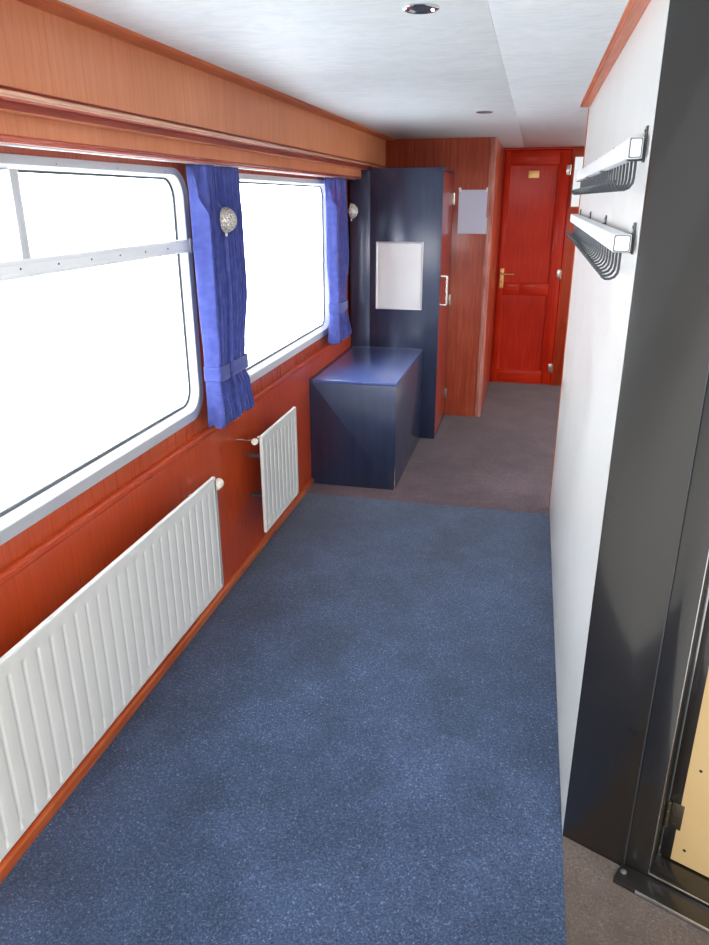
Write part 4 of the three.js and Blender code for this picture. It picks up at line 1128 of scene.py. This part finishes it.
def buildBowHandle():
    y, face, r, bend, (foot, top) = [bowHandle[k] for k in ("y", "face", "rod", "bend", "z")]
    turn = bowHandle["reach"] - bend
    path = [(face, foot), *arc((turn, foot + bend), bend, -90, 0), *arc((turn, top - bend), bend, 0, 90),
            (face, top)]
    bm = bmesh.new()
    sweepInto(bm, [(x, y, z) for x, z in path], roundedOutline((-r, r), (-r, r), 2.0, 3))
    for end in (foot, top):
        latheInto(bm, (face, y, end), (1, 0, 0), [(0, 10.5), (1.6, 10.5), (2.4, 9.4), (2.4, 0)], 24)
    finishPiece("cabinetBowHandle", bm, nickel, body="cabinet_leaf", slot="aluminium",
                stands=("cabinet_handle",), angle=40)


buildBowHandle()

notice = {"x": (-928, -611), "z": (1025, 1465), "face": 1059, "wall": 1067, "rail": 11}


# A snap frame of mitred rails round a blank sheet.
def buildNotice():
    x, z, rail, front, wall = [notice[k] for k in ("x", "z", "rail", "face", "wall")]
    profile = ((0, wall), (0, front + 3), (1.2, front + 0.8), (4, front), (rail - 3, front + 1.2),
               (rail, front + 3.5), (rail, wall))  # inset, y
    bm = bmesh.new()
    loftInto(bm, [[(a, y, b) for a, b in insetOutline(x, z, inset, max(5 - inset, 0.6), 3)]
                  for inset, y in profile], closedPath=True)
    finishPiece("noticeFrameRails", bm, stripAluminium, slot="aluminium", stands=("notice_frame",), angle=25)
    lap = rail - 1
    sheet = ((x[0] + lap, front + 4.2, z[0] + lap), (x[1] - lap, wall - 0.2, z[1] - lap), 0.3)
    boxPiece("noticeBlankSheet", [sheet], paper, slot="white_board")


buildNotice()
print("cupboard and cabinet made")

# Corner bulkhead, end bulkheads and the end door.
easeArrises("corner_bulkhead", "cornerBoards", cornerMahogany, 1.0, slot="mahogany")
easeArrises("corner_strip", "cornerEdgeStrip", wornMahogany, 0.7, slot="mahogany")
easeArrises("end_bulkhead_port", "endBoardPort", endMahogany, 1.0, slot="mahogany")
easeArrises("end_bulkhead_starboard", "endBoardStarboard", endMahogany, 1.0, slot="mahogany")
easeArrises("end_window_frame", "endWindowFrame", stripMahogany, 3.0, slot="mahogany", segments=3)
easeArrises("end_door_frame", "endDoorFrame", doorMahogany, 2.0, slot="door_mahogany", segments=3)

pinnedSheet = {"x": (-457, -247), "z": (1490, 1787), "wall": 1705.7, "curl": 5.0, "thickness": 0.25,
               "columns": 8, "rows": 12, "tapes": ((8, 0.3), (200, -0.2))}


# A blank sheet held by two strips of tape at its top corners, its foot curling away from the wall.
def buildPinnedSheet():
    (x0, x1), (z0, z1), columns, rows = [pinnedSheet[k] for k in ("x", "z", "columns", "rows")]
    wall, curl = pinnedSheet["wall"], pinnedSheet["curl"]
    bm = bmesh.new()
    edges = []
    for depth in (0.0, pinnedSheet["thickness"]):
        grid = []
        for b in (j / rows for j in range(rows + 1)):
            row = []
            for a in (i / columns for i in range(columns + 1)):
                lift = 0.4 + curl * ((1 - b) ** 2 * (0.3 + 0.7 * a)) + 0.5 * math.sin(5 * a + 3 * b) ** 2
                row.append(bm.verts.new((x0 + (x1 - x0) * a, wall - lift - depth, z0 + (z1 - z0) * b)))
            grid.append(row)
        for low, high in zip(grid, grid[1:]):
            for i in range(columns):
                bm.faces.new((low[i], low[i + 1], high[i + 1], high[i]))
        edges.append(grid[0] + [row[-1] for row in grid[1:]] + grid[-1][-2::-1]
                     + [row[0] for row in grid[-2:0:-1]])
    for i, (a, b) in enumerate(zip(*edges)):
        k = (i + 1) % len(edges[0])
        bm.faces.new((a, edges[0][k], edges[1][k], b))
    finishPiece("pinnedBlankSheet", bm, tintedPaper, slot="white_board", angle=40)
    tape = bmesh.new()
    for along, turn in pinnedSheet["tapes"]:
        c, s = math.cos(turn), math.sin(turn)
        ring = [(x0 + along + u * c - v * s, z1 + u * s + v * c)
                for u, v in ((-9, -14), (9, -14), (9, 16), (-9, 16))]
        loftInto(tape, [[(u, y, v) for u, v in ring] for y in (1704.6, 1704.9)])
    finishPiece("pinnedSheetTape", tape, lampEnamel, slot="white_board")


buildPinnedSheet()

endDoor = {"x": (-197, 337), "y": (2890, 2930), "z": (128, 2103), "recess": 8, "stile": (-151, 247),
           "panels": ((1022, 1994), (245, 930)), "rails": ((128, 245), (930, 1022), (1994, 2103)),
           "joint": -5.6, "moulding": 9, "pin": (339.5, 2883.7), "flapX": (309, 339.5),
           "flapY": (2888.5, 2890), "hinges": (240, 1070, 1910)}


# Stiles, rails and a core board; each panel is flat, with a slim quarter-round moulding round it.
def buildEndDoor():
    x, y, z, recess, (left, right) = [endDoor[k] for k in ("x", "y", "z", "recess", "stile")]
    stiles, rails, fields, mouldings = [bmesh.new() for _ in range(4)]
    boxInto(fields, (x[0] + 1, y[0] + recess, z[0] + 1), (x[1] - 1, y[1] - recess, z[1] - 1), 0.5)
    profile = ((0.2, 0), (0.2, recess + 0.6), (1.6, recess + 1.4), (3.2, recess + 0.9), (4.6, recess - 1),
               (6.4, 4.0), (endDoor["moulding"], 2.0), (endDoor["moulding"], 0))  # inset, height
    for face, out in ((y[0], -1), (y[1], 1)):
        near, far = sorted((face, face - out * (recess + 0.6)))
        for a, b in ((x[0], left), (right, x[1])):
            boxInto(stiles, (a, near, z[0]), (b, far, z[1]), 1.0)
        for low, high in endDoor["rails"]:
            ends = (left, endDoor["joint"], right) if low > z[0] and high < z[1] else (left, right)
            for a, b in zip(ends, ends[1:]):
                boxInto(rails, (a, near, low), (b, far, high), 1.0)
        for low, high in endDoor["panels"]:
            rings = []
            for i, height in profile:
                (u0, u1), (v0, v1) = (left + i, right - i), (low + i, high - i)
                rings.append([(u, face - out * recess + out * height, v)
                              for u, v in ((u0, v0), (u1, v0), (u1, v1), (u0, v1))])
            loftInto(mouldings, rings, closedPath=True)
    ride = {"body": "end_leaf", "slot": "door_mahogany"}
    finishPiece("endDoorStiles", stiles, doorMahogany, stands=("end_door",), **ride)
    finishPiece("endDoorRails", rails, doorMahoganyAcross, **ride)
    finishPiece("endDoorPanels", fields, doorMahogany, angle=15, **ride)
    finishPiece("endDoorMouldings", mouldings, doorMahogany, angle=50, **ride)
    hingePiece("endDoorHinges", endDoor["pin"], endDoor["flapX"], endDoor["flapY"], endDoor["hinges"],
               (0, -1, 0), nickel, "end_leaf")


lever = {"plateX": (-182, -146), "plateZ": (980, 1150), "gripX": (-172, -56), "gripZ": 1104, "off": 41,
         "keyholeZ": (1022, 1035)}


def buildLever(name, node, side, face):
    plateX, plateZ, (root, tip), gripZ, (slotFoot, holeZ) = [
        lever[k] for k in ("plateX", "plateZ", "gripX", "gripZ", "keyholeZ")]
    middle, out = sum(plateX) / 2, lambda d: face + side * d
    bm = bmesh.new()
    loftInto(bm, [[(a, out(d), b) for a, b in insetOutline(plateX, plateZ, inset, max(7 - inset, 2), 5)]
                  for inset, d in ((0, 0), (0, 3.2), (0.8, 4.8), (2.4, 5.8), (4.2, 6.0))])
    latheInto(bm, (middle, out(4), gripZ), (0, side, 0),
              [(0, 13.5), (4.5, 13.5), (6.5, 11), (7.5, 8.5), (33, 7.6), (36, 8.4), (40, 8.4), (43, 6),
               (43.4, 0)], 28)
    grip = ((root + 2, 6.0, 5.0, 0), (root + 6, 7.8, 6.4, 0), (-150, 7.6, 6.2, 0), (-110, 6.8, 5.4, 0),
            (-80, 7.0, 5.2, 0.4), (tip - 6, 7.6, 5.4, 1.0), (tip - 1, 6.2, 4.2, 1.2), (tip, 4.0, 2.4, 1.2))
    loftInto(bm, [[(x, out(lever["off"]) + deep * math.cos(a), gripZ - sag + tall * math.sin(a))
                   for a in turnAngles(16)] for x, tall, deep, sag in grip])
    for z in (plateZ[0] + 12, plateZ[1] - 12):
        latheInto(bm, (middle, out(5.6), z), (0, side, 0), [(0, 4), (0.9, 3.6), (1.5, 2), (1.6, 0)], 14)
    finishPiece(name, bm, brassPlate, body="end_leaf", slot="brass", stands=(node,), angle=40)
    hole = bmesh.new()
    latheInto(hole, (middle, out(5.7), holeZ), (0, side, 0), [(0, 4.2), (0.5, 4.2), (0.5, 0)], 16)
    near, far = sorted((out(5.7), out(6.2)))
    boxInto(hole, (middle - 1.6, near, slotFoot), (middle + 1.6, far, holeZ - 1), 0.3)
    finishPiece(name + "Keyhole", hole, darkScrews, body="end_leaf", slot="dark_steel")


namePlate = {"x": (4, 90), "z": (1889, 1946), "face": 2894.5}


def buildNamePlate():
    x, z, face = [namePlate[k] for k in ("x", "z", "face")]
    bm = bmesh.new()
    loftInto(bm, [[(a, face + d, b) for a, b in insetOutline(x, z, inset, 4 - inset, 4)]
                  for inset, d in ((0, 0.3), (0, -1.4), (0.8, -2.2), (2.0, -2.4))])
    for screwX in (x[0] + 8, x[1] - 8):
        latheInto(bm, (screwX, face - 2.2, sum(z) / 2), (0, -1, 0),
                  [(0, 2.6), (0.5, 2.3), (1.0, 1), (1.0, 0)], 12)
    finishPiece("endDoorBlankPlate", bm, brassPlate, body="end_leaf", slot="brass")


buildEndDoor()
buildLever("endDoorLever", "end_door_handle", -1, 2890)
buildLever("endDoorLeverFar", "end_door_handle_far", 1, 2930)
buildNamePlate()
print("end door made")

# Partition and coat racks.
easeArrises("partition", "partitionBoard", wallBoard, 1.0, slot="white_board")
easeArrises("partition_trim", "partitionEndTrim", stripMahogany, 1.5, slot="mahogany")

rack = {"wall": 290, "y": (-2270, -190), "feet": (-2240, -1560, -900, -230), "pitch": 70, "hookRod": 3.0,
        "hookPath": ((12, 2), (12, -12), (12, -34), (10.5, -44), (5, -52), (-4, -56), (-13, -56), (-20, -51),
                     (-23, -43))}
racks = {  # x and z of each rail
    "coat_rack_upper": ((254, 280), (1802, 1840)), "coat_rack_lower": ((246, 280), (1628, 1662)),
}


# One hook: a bent rod, down from the rail and round to a raised tip with a ball.
def hookUnit(r):
    bm = bmesh.new()
    section = [(r * math.cos(a), r * math.sin(a)) for a in turnAngles(6)]
    sweepInto(bm, [(x, 0, z) for x, z in rack["hookPath"]], section)
    ball = [(0, r), (2, r + 1.1), (5, r + 1.1), (6.5, r - 1), (6.5, 0)]
    latheInto(bm, (-23, 0, -44), (-0.25, 0, 1), ball, 8)
    return bm


def buildRack(node, x, z):
    (aft, fore), wall, pitch = rack["y"], rack["wall"], rack["pitch"]
    bm = bmesh.new()
    # box tube with rounded arrises, and a cap with a dark rim at each end
    loftInto(bm, [[(a, end, b) for a, b in roundedOutline(x, z, 3.0, 3)] for end in (aft + 1.5, fore - 1.5)])
    for end, out in ((aft + 1.5, -1), (fore - 1.5, 1)):
        for inset, d, shade in ((1.0, 0.6, 1), (3.4, 1.5, 0)):
            loftInto(bm, [[(a, end + out * far, b) for a, b in insetOutline(x, z, inset, 2.4, 3)]
                          for far in (-0.5, d)], index=shade)
    finishPiece(node + "_rail", bm, [railPaint, rubber], slot="dark_steel", stands=(node,))
    plates = bmesh.new()
    for foot in rack["feet"]:
        for low, high, bevel in (((wall - 4, foot, z[0] - 6), (wall - 0.2, foot + 24, z[1] + 22), 1.2),
                                 ((x[1] - 3, foot, z[0] - 3), (wall - 1, foot + 24, z[0] + 1.5), 0.8),
                                 ((x[0] + 3, foot, z[0] - 3.2), (x[1], foot + 24, z[0] + 0.5), 0.8),
                                 ((x[1] - 0.5, foot, z[0] - 3), (x[1] + 2.5, foot + 24, z[1] + 1.5), 0.8),
                                 ((x[1] - 1, foot + 2, z[1] - 2), (wall - 1, foot + 22, z[1] + 1.2), 0.8)):
            boxInto(plates, low, high, bevel)
        latheInto(plates, (wall - 4, foot + 12, z[1] + 13), (-1, 0, 0),
                  [(0, 4.2), (1.2, 3.8), (2.4, 2), (2.6, 0)], 12)
    finishPiece(node + "_brackets", plates, hookPaint, slot="dark_steel")
    count = math.floor((fore - aft) / pitch)
    first = aft + pitch / 2 + 3.5
    rowOfCopies(node + "_hooks", hookUnit(rack["hookRod"]), (x[0] + 8, first, z[0]),
                (x[0] + 8, first + (count - 1) * pitch, z[0]), count, hookPaint, slot="dark_steel")


for node, (x, z) in racks.items():
    buildRack(node, x, z)
print("partition and racks made")

# The black doorway across the corner, drawn in its own turned frame.
portal = {"turn": -24.5, "corner": (290, -2300), "opening": (225, 791), "top": 2010, "sill": 138,
          "floor": 120, "seam": 165, "border": 60, "tread": 62, "bolt": (172, -24)}
portalLeaf = {"x": (230, 784), "z": (143, 2005), "face": 75, "thick": 30, "stile": 27,
              "screws": (284, 772), "screwZ": (190, 1960), "knob": (742, 1075), "pin": (231.3, 68.7),
              "flapX": (238, 266), "flapY": (72.2, 74.0), "hinges": (245, 1000, 1850)}
portalPlace = (Matrix.Translation((*portal["corner"], 0))
               @ Matrix.Rotation(math.radians(portal["turn"]), 4, "Z"))
easeArrises("portal_panel", "portalPanel", blackLacquer, 1.0, slot="black_gloss")
easeArrises("portal_frame", "portalFrame", blackLacquer, slot="black_gloss")


def buildPortalLeaf():
    (x0, x1), (z0, z1), face, thick, stile = [portalLeaf[k] for k in ("x", "z", "face", "thick", "stile")]
    back = face + thick
    ride = {"body": "portal_leaf", "place": portalPlace}
    boxPiece("portalLeaf", [((x0, face, z0), (x1, back, z1), 2.0)], creamPaint, 3, slot="cream_paint",
             stands=("portal_door",), **ride)
    boxPiece("portalLeafStileStrip",
             [((x0 - 0.3, face - 1.2, z0 + 2), (x0 + stile, face + 1, z1 - 2), 0.5),
              ((x0 - 0.3, face + 0.8, z0 + 2), (x0 + 1.5, back - 1, z1 - 2), 0.4)],
             blackLacquer, slot="black_gloss", **ride)
    hingePiece("portalLeafHinges", portalLeaf["pin"], portalLeaf["flapX"], portalLeaf["flapY"],
               portalLeaf["hinges"], (0, -1, 0), hingeBronze, **ride)
    first, last = portalLeaf["screwZ"]
    for x in portalLeaf["screws"]:
        rowOfCopies("portalLeafScrews" + str(x), screwHead(4.0, 1.2, (0, -1, 0)), (x, face - 0.1, first),
                    (x, face - 0.1, last), 8, darkScrews, slot="dark_steel", turn=1.5,
                    turnAxis=(0, 1, 0), **ride)
    x, z = portalLeaf["knob"]
    turnedPiece("portalLeafKnob", (x, face, z), (0, -1, 0),
                [(0, 24), (2, 24), (4, 21), (5, 9), (24, 8), (30, 16), (40, 22), (48, 22), (53, 15),
                 (54, 0)], 28, nickel, slot="chrome", **ride)


def buildPortalTrim():
    (a, b), top, sill, floor, tread = [portal[k] for k in ("opening", "top", "sill", "floor", "tread")]
    seam, edge = portal["seam"], b + portal["border"]
    # thin metal angle round the opening, the sill's bead and the nosing of the tread plate
    boxPiece("portalEdgeAngle",
             [((a - 1.0, 0.6, sill), (a + 1.0, 2.4, top), 0.4),
              ((b - 1.0, 0.6, sill), (b + 1.0, 2.4, top), 0.4),
              ((a - 1, 0.6, top - 1.2), (b + 1, 4.0, top + 1.0), 0.5),
              ((a, 1.0, sill - 1), (b, 4, sill + 1.0), 0.5),
              ((a - 12, -tread - 1.5, floor + 3), (b + 12, -tread + 3, floor + 11.5), 0.8)],
             stripAluminium, slot="aluminium", place=portalPlace)
    boxPiece("portalSillBoard", [((a + 0.3, 8, sill - 0.5), (b - 0.3, 108, sill + 1.0), 0.6)], blackLacquer,
             slot="black_gloss", place=portalPlace)
    boxPiece("portalTreadPlate", [((a - 66, -tread, floor + 0.2), (edge, 0.2, floor + 10), 1.2)],
             blackLacquer, slot="black_gloss", place=portalPlace)
    boxPiece("portalSeamBead",
             [((x - 1.2, -0.8, floor + 1), (x + 1.2, 0.6, top + 60), 0.4) for x in (seam, edge)]
             + [((seam, -0.8, top + 58.8), (edge, 0.6, top + 61.2), 0.4)],
             hookPaint, slot="dark_steel", place=portalPlace)
    turnedPiece("portalFootBolt", (*portal["bolt"], floor + 9.8), (0, 0, 1),
                [(0, 8), (1.5, 8), (2, 6), (2, 5), (5.5, 5), (6, 4), (6, 0)], 18, zincSteel,
                slot="dark_steel", place=portalPlace)


buildPortalLeaf()
buildPortalTrim()
print("doorway made")

# Ceiling, downlights and roof.
easeArrises("ceiling_outboard", "ceilingBoardPort", ceilingBoard, 1.6, slot="white_board")
easeArrises("ceiling_inboard", "ceilingBoardStarboard", ceilingBoard, 1.6, slot="white_board")
useFinish("roof", roofPanel)

downlight = {"radius": 41, "lens": 25}
for node in ("downlight_1", "downlight_2"):
    low, high = cadBox(node)
    x, y, r, lens = (low.x + high.x) / 2, (low.y + high.y) / 2, downlight["radius"], downlight["lens"]
    turnedPiece(node + "_ring", (x, y, high.z), (0, 0, -1),
                [(0, r), (2.5, r), (4.6, r - 2), (6, r - 6), (6, r - 9), (5, r - 11), (1.5, r - 16),
                 (0.8, r - 16)], 48, chromed, slot="chrome", stands=(node,), angle=40)
    turnedPiece(node + "_lens", (x, y, high.z - 0.8), (0, 0, -1),
                [(0, lens), (1.2, lens - 1), (1.9, 12), (2.1, 0)], 32, hookPaint, slot="glass", angle=40)

roofSeams = {"x": (-1180, 1180), "y": (-1490, 0, 1490), "z": 2200, "width": 7, "proud": 2.2}
seams = bmesh.new()
for y in roofSeams["y"]:
    section = [(y + share * roofSeams["width"], roofSeams["z"] + rise)
               for share, rise in ((-1, -0.5), (-0.6, roofSeams["proud"] * 0.7), (0, roofSeams["proud"]),
                                   (0.6, roofSeams["proud"] * 0.7), (1, -0.5))]
    loftInto(seams, [[(x, a, b) for a, b in section] for x in roofSeams["x"]])
finishPiece("roofWeldSeams", seams, roofPaint, slot="painted_steel")
print("ceiling and roof made")

# Camera where the photograph was taken from, daylight in the windows, two soft fills and a floor.
view = {"place": (0.090, -3.880, 1.7311), "left": 13.313, "down": 20.66, "roll": -0.19, "lens": 27.67,
        "sensor": 36}
camera = bpy.data.cameras.new("camera")
cameraObject = addObject("camera", camera)
camera.sensor_width = view["sensor"]
camera.lens = view["lens"]
camera.clip_start = 0.05
left, up, roll = [math.radians(a) for a in (view["left"], 90 - view["down"], view["roll"])]
cameraObject.matrix_world = (Matrix.Translation(view["place"]) @ Matrix.Rotation(left, 4, "Z")
                             @ Matrix.Rotation(up, 4, "X") @ Matrix.Rotation(roll, 4, "Z"))
bpy.context.scene.camera = cameraObject
bpy.context.scene.view_settings.view_transform = "Standard"
bpy.context.scene.view_settings.look = "None"

lights = {  # place, aim, width, height, strength in watts, colour
    "daylightInWindow1": ((-1.168, -2.085, 1.3965), (0.0, -2.085, 1.3965), 1.41, 0.80, 52, "#f4f8ff"),
    "daylightInWindow2": ((-1.168, -0.155, 1.3965), (0.0, -0.155, 1.3965), 1.41, 0.80, 52, "#f4f8ff"),
    "aftFill": ((0.6, -6.2, 2.8), (-0.2, -1.0, 1.0), 3.6, 2.4, 205, "#ffffff"),
    "starboardFill": ((4.4, 0.4, 2.6), (0.2, 0.6, 1.1), 5.0, 2.4, 150, "#ffffff"),
}
for name, (place, aim, width, height, strength, colour) in lights.items():
    panel = bpy.data.lights.new(name, "AREA")
    panel.shape = "RECTANGLE"
    panel.size, panel.size_y = width, height
    panel.energy = strength
    panel.color = hexColour(colour)[:3]
    panelObject = addObject(name, panel)
    panelObject.location = place
    panelObject.rotation_euler = (Vector(aim) - Vector(place)).to_track_quat("-Z", "Y").to_euler()

world = bpy.data.worlds.new("studio")
world.use_nodes = True
fillSockets(world.node_tree.nodes["Background"], {"Color": "#f2f5f8", "Strength": 1.05})
bpy.context.scene.world = world

floorMaterial, _, floorShader, _ = newMaterial("studioFloor")
fillSockets(floorShader, {"Base Color": "#e2e2df", "Roughness": 0.6})
floorDrawing = bmesh.new()
bmesh.ops.create_grid(floorDrawing, x_segments=1, y_segments=1, size=30)
floorMesh = bpy.data.meshes.new("studioFloor")
floorDrawing.to_mesh(floorMesh)
floorDrawing.free()
floorMesh.materials.append(floorMaterial)
addObject("studioFloor", floorMesh)

print("scene made")
